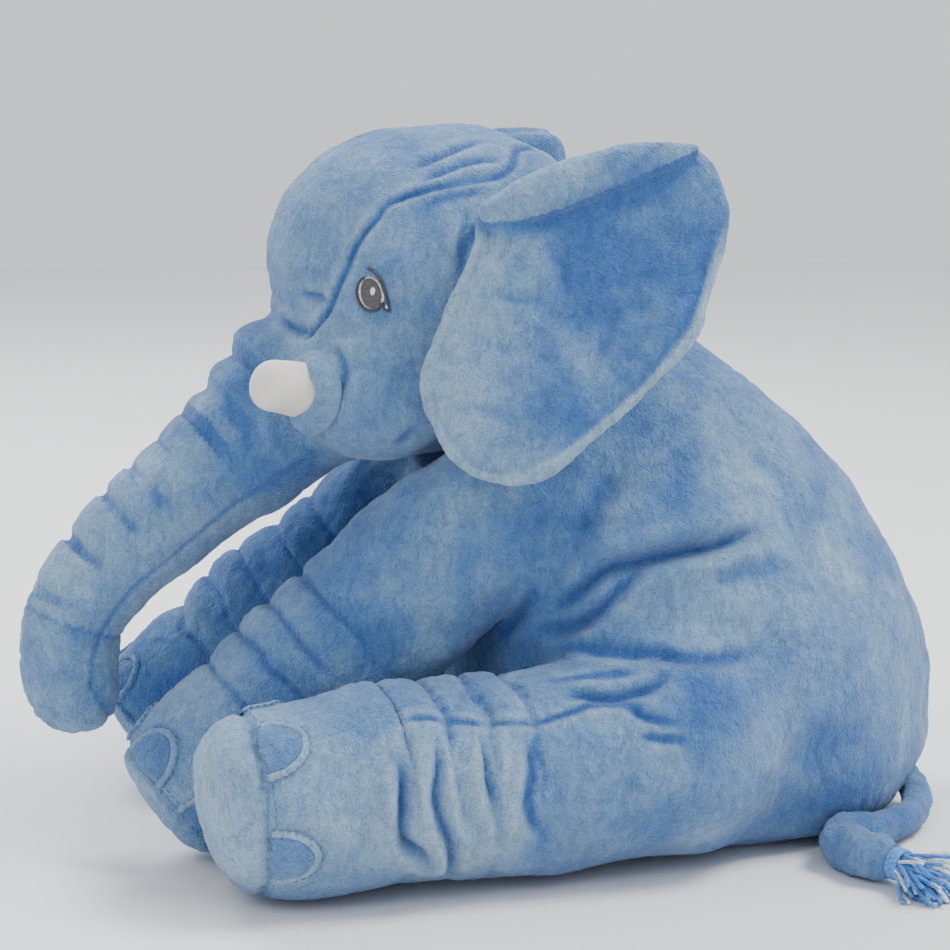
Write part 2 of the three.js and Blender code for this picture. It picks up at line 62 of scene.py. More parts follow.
import bmesh
import bpy
import numpy as np
import openvdb
from mathutils import Vector
from mathutils.bvhtree import BVHTree

MM = 0.001
PIVOT = {j["name"]: np.array(j["pos_m"], float) for j in frame["joints"]}

# The toy is drawn in millimetres about its own middle; the neck joint says where that is.
NECK = np.array([0.0, 22.0, 286.0])
SHIFT = PIVOT["neck_turn"] * 1000.0 - NECK
HEAD_TURN = math.radians(10.0)

# Torso: height, centre Y, half length, half width.
TORSO_LEVELS = np.array([
    (0, 140, 108, 108), (14, 138, 132, 132), (44, 134, 148, 143), (84, 131, 153, 147),
    (124, 126, 151, 143), (164, 114, 148, 133), (204, 97, 139, 120), (238, 82, 121, 103),
    (268, 72, 100, 84), (292, 64, 74, 62), (306, 60, 48, 42), (330, 58, 22, 20),
], float)

# Legs: profile is (distance from the pivot, radius); point is the way the leg points.
FRONT = {"length": 256, "dome": 13, "squash": 0.87, "root": 46, "tip": 58, "tail": 50, "bond": 42,
         "profile": [(34, 51), (100, 50.5), (150, 49.5), (186, 47), (212, 46.5), (244, 45), (256, 41)]}
HIND = {"length": 252, "dome": 27, "squash": 0.92, "root": 62, "tip": 72, "tail": 80, "bond": 66,
        "profile": [(50, 60.5), (88, 59.5), (144, 58), (184, 57), (236, 56), (252, 51)]}
LEGS = {
    "leg_front_left": dict(FRONT, sign=1, pivot=(80, 5, 208), point=(0.027, -0.745, -0.666),
                           creases=(114, 139, 163, 189), depth=5.0, low=0.1, lift=90),
    "leg_front_right": dict(FRONT, sign=-1, pivot=(-80, -10, 200), point=(-0.01, -0.775, -0.632),
                            creases=(78, 106, 135, 163, 189), depth=5.0, low=0.35, lift=90),
    "leg_hind_left": dict(HIND, sign=1, pivot=(128, 102, 70), point=(0.198, -0.979, -0.052),
                          creases=(98, 124, 148, 173), depth=5.5, low=0.25, lift=90),
    "leg_hind_right": dict(HIND, sign=-1, pivot=(-128, 102, 70), point=(-0.198, -0.979, -0.052),
                           creases=(98, 124, 148, 173), depth=5.5, low=0.25, lift=90),
}
BODY_STEP = (4.2, 2.4)
HEAD_STEP = (4.0, 2.3)
EAR_STEP = (3.0, 1.6)
TUSK_STEP = 1.6

# How far down a leg its own cloth starts.
LEG_BOUNDARY = {"front": 24.0, "hind": 40.0}
BODY_CORE = np.array([0.0, 120.0, 100.0])
CORE_PULL = 28.0
FLOOR_GAP = 0.4

# Toe patches: angles round the foot, half width, length, and the gap to the sole seam.
TOE_ANGLES = (-28.0, 42.0, 110.0)
TOE_HALF_WIDTH = 15.5
TOE_LENGTH = 22.0
TOE_GAP = 2.5
PIPING_RADIUS = 2.3
STITCH_SPACING, STITCH_LENGTH, STITCH_THICKNESS = 4.2, 3.0, 0.9

# Trunk: centre line (Y, Z) in the plane of the head, with its radius.
TRUNK_LINE = np.array([
    (-62, 288, 46), (-98, 270, 47), (-126, 250, 44), (-160, 224, 38.5), (-203, 190, 34.5),
    (-228, 168, 32.5), (-246, 146, 31), (-254, 122, 29.5), (-254, 100, 27.5), (-252, 94, 26.5),
], float)
# Distances along the trunk of its creases, and (Y, Z, size) of the tucks at its root.
TRUNK_CREASES = (37, 61, 84, 107, 134, 157, 178, 208, 236)
TRUNK_TUCKS = [(-134, 293, 15.5), (-150, 273, 15.5), (-166, 254, 14.5), (-181, 235, 14.0)]
# Name, pivot (Y, Z), the way the trunk runs there, and where the cut and the bend lie past the pivot.
TRUNK_JOINTS = [
    ("trunk_upper", (-98, 268), (-105, -78), (30, 34, 74)),
    ("trunk_middle", (-203, 190), (-47, -44), (-20, -18, 20)),
    ("trunk_lower", (-250, 146), (-2, -58), (-17, -15, 18)),
]

# Ears: the rim and the folds are (back, down) in the plane of the ear.
EAR_ROOT = np.array([101.0, -14.0, 384.0])
EAR_DOWN = np.array([0.3, -0.1, -0.95])
EAR_BACK = np.array([0.42, 0.905, 0.037])
EAR_OUTLINE = [(-12, 11), (-10, 0), (5, -11), (25, -20), (50, -26), (73, -31), (93, -33), (110, -30),
               (121, -20), (127, -5), (128, 12), (124, 35), (117, 62), (108, 83), (82, 114), (51, 141),
               (35, 153), (18, 161), (1, 163), (-16, 157), (-36, 135), (-44, 108), (-40, 83),
               (-32, 62), (-23, 42), (-17, 26)]
# The stem sewn into the head: its middle (back, down, out) and radii.
EAR_STEM = (6, 13, -13)
EAR_STEM_RADII = (19, 12, 30)
EAR_WRINKLES = [
    ([(-12, 52), (8, 58), (30, 60)], 1.3), ([(-22, 78), (-2, 86), (24, 84)], 1.1),
    ([(60, 70), (74, 62), (96, 66)], 1.5), ([(52, 96), (62, 80), (66, 58)], 1.3),
    ([(-26, 118), (-4, 122), (16, 132)], 1.0), ([(20, 20), (36, 40), (40, 66)], 1.2),
]
# The rolled-over top edge: back, down and half width.
EAR_FOLD = [(-4, 7, 8), (10, 4, 12.5), (29, -4, 14.5), (53, -12, 13.5), (76, -20, 12), (97, -25, 8.5),
            (109, -28, 4)]

# Pressed folds: points on one side of the toy, depth and width. The other side mirrors them.
BODY_FOLDS = [
    ([(104, 20, 147), (115, 38, 152), (120, 48, 160), (123, 65, 175), (126, 82, 180), (126, 106, 185),
      (123, 130, 189), (115, 152, 195), (101, 166, 207)], 8.0, 4.4),
    ([(104, 21, 135), (119, 43, 140), (125, 59, 151), (127, 74, 167), (127, 91, 179)], 6.0, 3.8),
    ([(103, 22, 124), (137, 58, 131), (148, 85, 130), (154, 107, 127), (145, 138, 128), (138, 163, 134)],
     2.8, 3.6),
    ([(160, 23, 123), (159, 54, 123), (158, 78, 124)], 1.2, 2.6),
    ([(172, 30, 117), (173, 64, 114), (169, 82, 116), (161, 95, 121)], 4.2, 3.0),
    ([(180, 34, 110), (176, 63, 110), (181, 80, 101), (181, 102, 95)], 2.2, 2.6),
    ([(186, 73, 93), (183, 102, 88)], 1.6, 2.4),
    ([(106, 73, 230), (113, 55, 208), (115, 43, 188)], 2.4, 6.5),
    ([(131, 117, 169), (124, 153, 173), (115, 173, 177)], 1.8, 7.0),
    ([(64, 202, 215), (88, 194, 201), (104, 181, 189)], 1.8, 9.0),
    ([(86, 148, 238), (85, 173, 222), (98, 173, 206)], 1.8, 9.0),
    ([(96, 105, 246), (108, 108, 224), (120, 98, 203)], 1.8, 9.0),
    ([(203, -67, 96), (209, -63, 84), (214, -62, 66), (212, -61, 45), (208, -50, 34), (200, -44, 18),
      (190, -42, 6)], 6.0, 3.0),
    ([(194, -46, 105), (205, -42, 88), (211, -44, 67), (204, -35, 36), (180, -34, 9)], 4.6, 2.8),
    ([(191, -17, 103), (201, -13, 86), (205, -12, 70), (195, -6, 32)], 4.2, 2.8),
    ([(190, 10, 100), (199, 12, 79), (202, 9, 57), (191, 19, 36)], 2.2, 3.0),
    ([(110, 26, 164), (100, 16, 144), (87, 6, 126)], 3.0, 3.5),
]
SIDE_SEAM = [(197, -73, 105), (192, -45, 107), (190, -17, 105), (187, 11, 103), (184, 28, 106),
             (176, 52, 112)]
HEAD_FOLDS = [
    ([(65, -4, 401), (72, -36, 394), (72, -66, 386)], 2.4, 2.6),
    ([(55, 5, 407), (62, -27, 405), (70, -60, 391)], 2.2, 2.6),
    ([(35, 1, 418), (49, -30, 413), (59, -57, 402)], 2.0, 2.6),
    ([(76, -13, 391), (78, -44, 386), (80, -56, 378)], 2.0, 2.6),
    ([(78, -14, 388), (88, -24, 372), (92, -33, 358), (95, -38, 336)], 3.0, 2.6),
    ([(82, -27, 383), (90, -34, 367), (93, -39, 350)], 1.8, 2.0),
    ([(37, -119, 331), (52, -109, 329), (59, -104, 325)], 2.4, 2.2),
    ([(10, -124, 314), (37, -118, 309), (57, -112, 308)], 3.0, 2.8),
    ([(67, -110, 306), (79, -104, 298), (83, -102, 287), (80, -107, 272), (72, -112, 262)], 3.2, 2.6),
    ([(79, -72, 245), (84, -64, 254), (83, -58, 257)], 2.4, 3.0),
]

TUSK_BASE = np.array([60.0, -108.0, 274.0])
TUSK_TIP = np.array([72.0, -154.0, 284.0])
FAR_TUSK_DROOP = np.array([0, 15.0, -24.0])
EYE_CENTRE = np.array([76.0, -85.0, 333.0])
EYE_GAZE = np.array([0.72, -0.69, 0.03])
EYE_SCALE = 0.82
TAIL_ROOT = np.array([10.0, 268.0, 27.0])
TAIL_ROUTE = [(0, -4, 0), (34, 3, -10), (74, -8, -15), (106, -37, -14), (122, -63, -13), (141, -67, -13),
              (160, -58, -13), (176, -47, -13)]
TASSEL_STRANDS = 120
TASSEL_LENGTH = (30, 43)
NECK_RADIUS, NECK_HALF_HEIGHT = 47.0, 24.0
BROW_SEAM = [(30, 40, 412), (41, 14, 412), (63, 2, 402), (72, -22, 394), (71, -69, 386), (72, -81, 375),
             (70, -92, 361), (68, -98, 346), (63, -102, 334), (56, -107, 319), (50, -115, 307)]


# ------------------------------------------------------------------ small maths


def unit(v):
    """The vector at length one."""
    v = np.asarray(v, float)
    return v / np.linalg.norm(v)


def ramp(x, low, high):
    """A smooth step from 0 at low to 1 at high."""
    t = np.clip((x - low) / (high - low), 0, 1)
    return t * t * (3 - 2 * t)


def join_soft(a, b, k):
    """The union of two distance fields, rounded over k."""
    h = np.maximum(k - np.abs(a - b), 0) / k
    return np.minimum(a, b) - h * h * k * 0.25


def cut_soft(a, b, k):
    """The common part of two distance fields, rounded over k."""
    return -join_soft(-a, -b, k)


def smoothed(values):
    """Evenly spaced values with their corners rounded."""
    window = np.hanning(13)[1:-1]
    window /= window.sum()
    return np.convolve(np.pad(values, 5, mode="edge"), window, mode="valid")


def to_row(points):
    """Millimetres about the toy's middle to metres in the row frame."""
    return (np.asarray(points, float) + SHIFT) * MM


def look_left(points):
    """Points of a head that looks straight ahead, turned to where it looks."""
    p = np.asarray(points, float)
    c, s = math.cos(HEAD_TURN), math.sin(HEAD_TURN)
    x, y = p[..., 0], p[..., 1] - NECK[1]
    return np.stack([c * x - s * y, s * x + c * y + NECK[1], p[..., 2]], -1)


def cloud(points, size, seed, waves=26):
    """Smooth noise of about unit size, with lumps of the given size."""
    draw = np.random.default_rng(seed)
    directions = draw.normal(size=(waves, 3))
    directions /= np.linalg.norm(directions, axis=1)[:, None]
    rates = 2 * math.pi / size * draw.uniform(0.55, 1.35, waves)
    phases = draw.uniform(0, 2 * math.pi, waves)
    total = np.zeros(len(points))
    for direction, rate, phase in zip(directions, rates, phases):
        total += np.sin(points @ direction * rate + phase)
    return total * math.sqrt(2.0 / waves)


def polyline_distance(points, line):
    """Distance of each point to a polyline, and the share of the line's length there."""
    line = np.asarray(line, float)
    steps = np.linalg.norm(np.diff(line, axis=0), axis=1)
    total, before = steps.sum(), np.concatenate([[0], np.cumsum(steps)])
    best = np.full(len(points), 1e9)
    share = np.zeros(len(points))
    for a, b, step, start in zip(line[:-1], line[1:], steps, before):
        t = np.clip((points - a) @ (b - a) / step ** 2, 0, 1)
        d = np.linalg.norm(points - a - t[:, None] * (b - a), axis=1)
        closer = d < best
        best[closer] = d[closer]
        share[closer] = (start + t[closer] * step) / total
    return best, share


def smooth_line(points, count):
    """A smooth curve through the points, as count points."""
    p = np.asarray(points, float)
    p = np.vstack([2 * p[0] - p[1], p, 2 * p[-1] - p[-2]])
    out = []
    spans = len(p) - 3
    for u in np.linspace(0, spans - 1e-6, count):
        i, t = int(u), u - int(u)
        a, b, c, d = p[i:i + 4]
        out.append(0.5 * (2 * b + (c - a) * t + (2 * a - 5 * b + 4 * c - d) * t * t
                          + (3 * b - a - 3 * c + d) * t ** 3))
    return np.array(out)


# ------------------------------------------------------------------ skin fields


def torso_field(x, y, z):
    """Distance to the torso, a stack of rounded ellipses."""
    heights = np.arange(-60.0, 400.0, 2.0)
    table = [smoothed(np.interp(heights, TORSO_LEVELS[:, 0], TORSO_LEVELS[:, i])) for i in (1, 2, 3)]
    slopes = [np.gradient(t, heights) for t in table]
    cy, b, a = (np.interp(z, heights, t) for t in table)
    cy1, b1, a1 = (np.interp(z, heights, t) for t in slopes)
    v = y - cy
    rho = np.sqrt((x / a) ** 2 + (v / b) ** 2) + 1e-4
    gx = x / a ** 2 / rho
    gy = v / b ** 2 / rho
    gz = -(x ** 2 * a1 / a ** 3 + v ** 2 * b1 / b ** 3 + v * cy1 / b ** 2) / rho
    steep = np.sqrt(gx ** 2 + gy ** 2 + gz ** 2)
    return (rho - 1) / np.maximum(steep, 0.004)


def limb_frame(leg):
    """The directions along a leg, outwards across it, and up over it."""
    along = unit(leg["point"])
    side = unit(np.cross((0, 0, 1), along))
    up = np.cross(along, side)
    return along, side * leg["sign"], up


def limb_coordinates(leg, x, y, z):
    """Distance along a leg and from its middle line, and the outward and upward parts of that."""
    along, out, up = limb_frame(leg)
    px, py, pz = (q - c for q, c in zip((x, y, z), leg["pivot"]))
    s = px * along[0] + py * along[1] + pz * along[2]
    u = (px * out[0] + py * out[1] + pz * out[2]) / leg["squash"]
    v = px * up[0] + py * up[1] + pz * up[2]
    radius = np.sqrt(u * u + v * v)
    return s, radius, u, v


def limb_profile(leg):
    """Radius along a leg, from the ball at its root to its domed sole."""
    s = [leg["root"] * math.sin(math.radians(a)) for a in range(-90, 1, 6)]
    r = [leg["root"] * math.cos(math.radians(a)) for a in range(-90, 1, 6)]
    stations = [(8, leg["root"] * 0.995)] + list(leg["profile"])
    dense = np.arange(8, leg["length"] + 0.1, 2.0)
    radii = smoothed(np.interp(dense, *zip(*stations)))
    s += list(dense)
    r += list(radii)
    rim = radii[-1]
    for a in range(8, 91, 6):
        turn = math.radians(a)
        s.append(leg["length"] + leg["dome"] * math.sin(turn))
        r.append(rim * math.cos(turn) ** 0.8)
    s.append(leg["length"] + leg["dome"])
    r.append(0.0)
    return np.array(s), np.array(r)


def limb_field(leg, x, y, z):
    """Distance to a leg with its sewn rolls."""
    ps, pr = limb_profile(leg)
    s, radius, u, v = limb_coordinates(leg, x, y, z)
    near_r = np.interp(s, ps, pr)
    slope = np.interp(s, ps, np.clip(np.gradient(pr, ps + np.arange(len(ps)) * 1e-6), -6, 6))
    d = (radius - near_r) / np.sqrt(1 + slope ** 2)
    past = s - ps[-1]
    d = np.where(past > 0, np.sqrt(np.maximum(past, 0) ** 2 + np.maximum(radius - 6, 0) ** 2), d)
    d = np.where(s < 0, np.sqrt(s * s + radius * radius) - leg["root"], d)
    upward = v / np.maximum(radius, 1e-3)
    outward = u / np.maximum(radius, 1e-3)
    share = leg["low"] + (1 - leg["low"]) * ramp(upward + 0.3 * outward, 0.1, 0.95)
    return d + leg["depth"] * share * roll_crease(s + 3 * outward, leg["creases"])


def roll_crease(s, creases):
    """0 on top of the sewn rolls and 1 in the creases between them."""
    stops = [creases[0] - 24] + list(creases) + [creases[-1] + 22]
    crease = np.zeros_like(s)
    for i, (low, high) in enumerate(zip(stops[:-1], stops[1:])):
        t = np.clip((s - low) / (high - low), 0, 1)
        if i == 0:
            bump = np.sqrt(np.clip(1 - t ** 3, 0, 1))
        elif i == len(stops) - 2:
            bump = np.sqrt(np.clip(1 - (1 - t) ** 3, 0, 1))
        else:
            bump = np.sqrt(np.clip(1 - np.abs(2 * t - 1) ** 2.4, 0, 1))
        crease = np.where((s >= low) & (s < high), 1 - bump, crease)
    return crease


def ellipsoid(x, y, z, centre, radii):
    """Distance to an ellipsoid, near enough close to its surface."""
    px, py, pz = (q - c for q, c in zip((x, y, z), centre))
    k0 = np.sqrt((px / radii[0]) ** 2 + (py / radii[1]) ** 2 + (pz / radii[2]) ** 2) + 1e-6
    k1 = np.sqrt((px / radii[0] ** 2) ** 2 + (py / radii[1] ** 2) ** 2 + (pz / radii[2] ** 2) ** 2)
    return k0 * (k0 - 1) / np.maximum(k1, 1e-6)


def head_field(x, y, z):
    """Distance to the skull with its cheeks, jaw and brow, looking straight ahead."""
    skull = ellipsoid(x, y, z, (0, -16, 333), (97, 99, 93))
    brow = ellipsoid(x, y, z, (0, -60, 352), (74, 66, 58))
    jaw = ellipsoid(x, y, z, (0, -52, 282), (78, 74, 54))
    field = join_soft(join_soft(skull, brow, 30), jaw, 26)
    mirrored = np.abs(x)
    cheek = ellipsoid(mirrored, y, z, (50, -78, 276), (41, 43, 45))
    return join_soft(field, cheek, 18)


def trunk_coordinates(x, y, z):
    """Distance along the trunk, from its middle, its radius there, and how far up it faces."""
    line = smooth_line(TRUNK_LINE, 40)
    steps = np.linalg.norm(np.diff(line[:, :2], axis=0), axis=1)
    starts = np.concatenate([[0], np.cumsum(steps)])
    shape = np.broadcast(x, y, z).shape
    best = np.full(shape, 1e9, np.float32)
    along = np.zeros(shape, np.float32)
    radius = np.full(shape, 30, np.float32)
    upward = np.zeros(shape, np.float32)
    for i in range(len(line) - 1):
        (ay, az, ar), (by, bz, br) = line[i], line[i + 1]
        dy, dz = by - ay, bz - az
        t = np.clip(((y - ay) * dy + (z - az) * dz) / steps[i] ** 2, 0, 1)
        ny, nz = y - ay - t * dy, z - az - t * dz
        d = np.sqrt(x ** 2 + ny ** 2 + nz ** 2)
        near = (d - (ar + t * (br - ar))) < (best - radius)
        best = np.where(near, d, best)
        along = np.where(near, starts[i] + t * steps[i], along)
        radius = np.where(near, ar + t * (br - ar), radius)
        over = (ny * dz / steps[i] - nz * dy / steps[i]) / np.maximum(d, 1e-3)
        upward = np.where(near, over, upward)
    return along, best, radius, upward


def trunk_field(x, y, z):
    """Distance to the trunk with the tucks along its upper side."""
    along, d, radius, upward = trunk_coordinates(x, y, z)
    share = ramp(upward, 0.05, 0.8)
    field = d - radius + 3.8 * share * roll_crease(along, TRUNK_CREASES)
    for ty, tz, size in TRUNK_TUCKS:
        field = join_soft(field, ellipsoid(x, y, z, (0, ty, tz), (30, size, size)), 2.5)
    return field


# ------------------------------------------------------------------ skin meshes


def faced_out(points, quads):
    """The quads of a closed skin, turned outwards."""
    a, b, c, d = (points[quads[:, i]] for i in range(4))
    volume = np.einsum("ij,ij->i", a, np.cross(b, c) + np.cross(c, d)).sum()
    return quads[:, ::-1] if volume < 0 else quads


def march(field, low, high, step):
    """The surface of a distance field, as smooth quads facing outwards."""
    low = np.asarray(low, float)
    counts = np.ceil((np.asarray(high, float) - low) / step).astype(int) + 1
    x = (low[0] + step * np.arange(counts[0], dtype=np.float32))[:, None, None]
    y = (low[1] + step * np.arange(counts[1], dtype=np.float32))[None, :, None]
    z = (low[2] + step * np.arange(counts[2], dtype=np.float32))[None, None, :]
    values = np.broadcast_to(field(x, y, z), counts).astype(np.float32) / step
    grid = openvdb.FloatGrid(6.0)
    grid.copyFromArray(np.ascontiguousarray(values.clip(-6, 6)), tolerance=0)
    points, _, quads = grid.convertToPolygons(isovalue=0.0, adaptivity=0.0)
    points = points.astype(float) * step + low
    return points, faced_out(points, quads.astype(np.int64))


def normals_of(points, quads):
    """Vertex normals, each face weighing by its area."""
    a, b, c, d = (points[quads[:, i]] for i in range(4))
    face = np.cross(c - a, d - b)
    total = np.zeros_like(points)
    for i in range(4):
        for axis in range(3):
            total[:, axis] += np.bincount(quads[:, i], face[:, axis], len(points))
    return total / np.maximum(np.linalg.norm(total, axis=1), 1e-9)[:, None]


def relaxed(points, quads, times, share=0.5):
    """The mesh with its small steps evened out."""
    pairs = np.vstack([quads[:, [i, (i + 1) % 4]] for i in range(4)])
    for _ in range(times):
        total = np.zeros_like(points)
        for axis in range(3):
            total[:, axis] = np.bincount(pairs[:, 0], points[pairs[:, 1], axis], len(points))
        count = np.bincount(pairs[:, 0], minlength=len(points))
        mean = total / np.maximum(count, 1)[:, None]
        points = points + share * (mean - points)
    return points


def placed(name, data):
    """A new object in the scene, at the origin."""
    piece = bpy.data.objects.new(name, data)
    bpy.context.scene.collection.objects.link(piece)
    return piece


def toned_piece(name, mesh, tone, material):
    """The mesh as a piece, with the tone of its points and its material."""
    layer = mesh.attributes.new("tone", "FLOAT", "POINT")
    layer.data.foreach_set("value", np.ascontiguousarray(tone, np.float32))
    mesh.materials.append(material)
    return placed(name, mesh)


def skin_piece(name, points, quads, normals, tone, keep, material, core=None):
    """One closed piece of a skin: the kept faces, with its openings closed inwards to the core."""
    used, inverse = np.unique(quads[keep], return_inverse=True)
    faces = inverse.reshape(-1, 4)
    count = len(used)
    edges = np.vstack([faces[:, [i, (i + 1) % 4]] for i in range(4)])
    key = np.sort(edges, axis=1) @ np.array([count, 1])
    _, first, times = np.unique(key, return_index=True, return_counts=True)
    rim = edges[first[times == 1]]
    follow = {int(b): int(a) for a, b in rim}
    caps, centres = [], []
    while follow:
        start, here = next(iter(follow.items()))
        loop = [start]
        del follow[start]
        while here != start and here in follow:
            loop.append(here)
            here = follow.pop(here)
        if len(loop) > 2:
            caps.append((loop, count + len(centres)))
            middle = points[used[loop]].mean(axis=0)
            centres.append(middle if core is None else middle + CORE_PULL * unit(core - middle))
    coordinates = points[used]
    directions = normals[used]
    tones = tone[used]
    if centres:
        coordinates = np.vstack([coordinates, centres])
        directions = np.vstack([directions, np.tile((0, 0, 1.0), (len(centres), 1))])
        tones = np.concatenate([tones, np.zeros(len(centres))])
    polygons = faces.tolist()
    for loop, middle in caps:
        polygons += [[a, b, middle] for a, b in zip(loop, loop[1:] + loop[:1])]
    mesh = bpy.data.meshes.new(name)
    mesh.from_pydata(to_row(coordinates).tolist(), [], polygons)
    mesh.polygons.foreach_set("use_smooth", np.ones(len(polygons), bool))
    piece = toned_piece(name, mesh, tones, material)
    mesh.normals_split_custom_set_from_vertices(directions.tolist())
    return piece


def simple_mesh(name, points, faces, material, tone=0.0, smooth=True):
    """A mesh in the row frame from millimetre points."""
    mesh = bpy.data.meshes.new(name)
    mesh.from_pydata(to_row(points).tolist(), [], [list(map(int, f)) for f in faces])
    mesh.polygons.foreach_set("use_smooth", np.full(len(faces), smooth))
    piece = toned_piece(name, mesh, np.full(len(points), tone), material)
    mesh.validate()
    return piece


def grid_faces(rows, columns, closed_rows=False, closed_columns=True):
    """Quads between neighbouring points of a grid stored row by row."""
    faces = []
    for i in range(rows if closed_rows else rows - 1):
        for j in range(columns if closed_columns else columns - 1):
            k, n = (j + 1) % columns, (i + 1) % rows
            faces.append((i * columns + j, i * columns + k, n * columns + k, n * columns + j))
    return faces


def swept_tube(path, radii, sides=10, flat=1.0, up=(0, 0, 1)):
    """Points and faces of a tube round a path, with closed ends."""
    path = np.asarray(path, float)
    radii = np.broadcast_to(np.asarray(radii, float), (len(path),))
    tangents = np.gradient(path, axis=0)
    tangents /= np.linalg.norm(tangents, axis=1)[:, None]
    points = []
    for centre, tangent, radius in zip(path, tangents, radii):
        side = unit(np.cross(np.asarray(up, float), tangent))
        over = np.cross(tangent, side)
        for j in range(sides):
            a = 2 * math.pi * j / sides
            points.append(centre + radius * (math.cos(a) * side + flat * math.sin(a) * over))
    faces = grid_faces(len(path), sides)
    last = (len(path) - 1) * sides
    points += [path[0], path[-1]]
    for j in range(sides):
        k = (j + 1) % sides
        faces.append((len(points) - 2, k, j))
        faces.append((len(points) - 1, last + j, last + k))
    return np.array(points), faces


# ------------------------------------------------------------------ sculpting


class Sculpt:
    """A skin being worked: points with their normals, how far each moves, and its tone, which holds painted
    shade in creases and painted highlights on ridges and rims.
    """

    def __init__(self, points, quads):
        self.points, self.quads = points, quads
        self.normals = normals_of(points, quads)
        self.move = np.zeros(len(points))
        self.tone = np.zeros(len(points))

    def groove(self, line, depth, width, puff=0.0, dark=0.5, fade=0.0, facing=None):
        """A sewn or pressed line, with the cloth puffed on both sides of it, painted shade in its groove
        and painted highlight on the puffed ridges.
        """
        line = np.asarray(line, float)
        reach = width * 5 + 6
        low, high = line.min(axis=0) - reach, line.max(axis=0) + reach
        near = np.all((self.points > low) & (self.points < high), axis=1)
        if facing is not None:
            near &= self.normals @ np.asarray(facing, float) > 0.25
        index = np.nonzero(near)[0]
        if not len(index):
            return
        d, share = polyline_distance(self.points[index], line)
        weight = np.ones(len(index))
        if fade:
            weight = ramp(share, 0, fade) * (1 - ramp(share, 1 - fade, 1))
        pit = np.exp(-(d / width) ** 2) * weight
        ridge = np.exp(-((d - 2.6 * width) / (1.5 * width)) ** 2) * weight
        self.move[index] += -depth * pit + puff * ridge
        # Painted shade: the tone is darkened in the groove by dark; painted highlight: it is lightened on
        # the puffed ridges.
        self.tone[index] -= dark * pit
        self.tone[index] += 0.25 * dark * ridge

    def crumple(self, amount, size, seed, where=None):
        """Soft creasing all over, sharper in its valleys."""
        n = cloud(self.points, size, seed)
        crease = np.abs(n)
        bump = amount * (np.clip(crease, 0, 1.2) - 0.6)
        self.move += bump if where is None else bump * where

    def lumps(self, amount, size, seed):
        """Uneven stuffing under the cloth."""
        self.move += amount * cloud(self.points, size, seed)

    def finish(self, floor=False):
        """Moves the points, above the floor if it's asked for, and measures the new normals."""
        self.points = self.points + self.normals * self.move[:, None]
        if floor:
            self.points[:, 2] = np.maximum(self.points[:, 2], FLOOR_GAP)
        self.normals = normals_of(self.points, self.quads)
        return self


# ------------------------------------------------------------------ materials


def new_material(name):
    """An empty material with its shader, its tree and its position node."""
    material = bpy.data.materials.new(name)
    material.use_nodes = True
    tree = material.node_tree
    shader = tree.nodes["Principled BSDF"]
    place = tree.nodes.new("ShaderNodeTexCoord")
    return material, tree, shader, place


def noise_node(tree, place, scale, detail, roughness=0.5, distortion=0.0, stretch=None):
    """A noise texture on the piece's own position, in lumps per metre."""
    source = place.outputs["Object"]
    if stretch is not None:
        mapping = tree.nodes.new("ShaderNodeMapping")
        mapping.inputs["Scale"].default_value = stretch
        tree.links.new(source, mapping.inputs["Vector"])
        source = mapping.outputs["Vector"]
    node = tree.nodes.new("ShaderNodeTexNoise")
    node.inputs["Scale"].default_value = scale
    node.inputs["Detail"].default_value = detail
    node.inputs["Roughness"].default_value = roughness
    node.inputs["Distortion"].default_value = distortion
    tree.links.new(source, node.inputs["Vector"])
    return node


def ramp_node(tree, source, stops):
    """A colour ramp over a value."""
    node = tree.nodes.new("ShaderNodeValToRGB")
    node.color_ramp.elements[0].position = stops[0][0]
    node.color_ramp.elements[0].color = (*stops[0][1], 1)
    node.color_ramp.elements[1].position = stops[-1][0]
    node.color_ramp.elements[1].color = (*stops[-1][1], 1)
    for position, colour in stops[1:-1]:
        element = node.color_ramp.elements.new(position)
        element.color = (*colour, 1)
    tree.links.new(source, node.inputs["Fac"])
    return node


def mix_node(tree, mode, factor, a, b):
    """A mix of two colours; each is a socket or a plain colour."""
    node = tree.nodes.new("ShaderNodeMix")
    node.data_type = "RGBA"
    node.blend_type = mode
    if isinstance(factor, (int, float)):
        node.inputs[0].default_value = factor
    else:
        tree.links.new(factor, node.inputs[0])
    for socket, value in ((node.inputs[6], a), (node.inputs[7], b)):
        if isinstance(value, bpy.types.NodeSocket):
            tree.links.new(value, socket)
        else:
            socket.default_value = (*value, 1)
    return node.outputs[2]


def math_node(tree, operation, a, b):
    """One sum on two values, each a socket or a number."""
    node = tree.nodes.new("ShaderNodeMath")
    node.operation = operation
    for socket, value in zip(node.inputs, (a, b)):
        if isinstance(value, bpy.types.NodeSocket):
            tree.links.new(value, socket)
        else:
            socket.default_value = value
    return node.outputs[0]


def bump_node(tree, height, strength, distance, normal=None):
    """A bump from a height, on top of another one if it's given."""
    node = tree.nodes.new("ShaderNodeBump")
    node.inputs["Strength"].default_value = strength
    node.inputs["Distance"].default_value = distance
    tree.links.new(height, node.inputs["Height"])
    if normal is not None:
        tree.links.new(normal, node.inputs["Normal"])
    return node.outputs["Normal"]


def finished(tree, shader, colour, roughness, normal=None, **values):
    """Sets the shader's colour, relief, roughness and other inputs, named with _ for a space."""
    tree.links.new(colour, shader.inputs["Base Color"])
    if normal is not None:
        tree.links.new(normal, shader.inputs["Normal"])
    shader.inputs["Roughness"].default_value = roughness
    for name, value in values.items():
        shader.inputs[name.replace("_", " ")].default_value = value


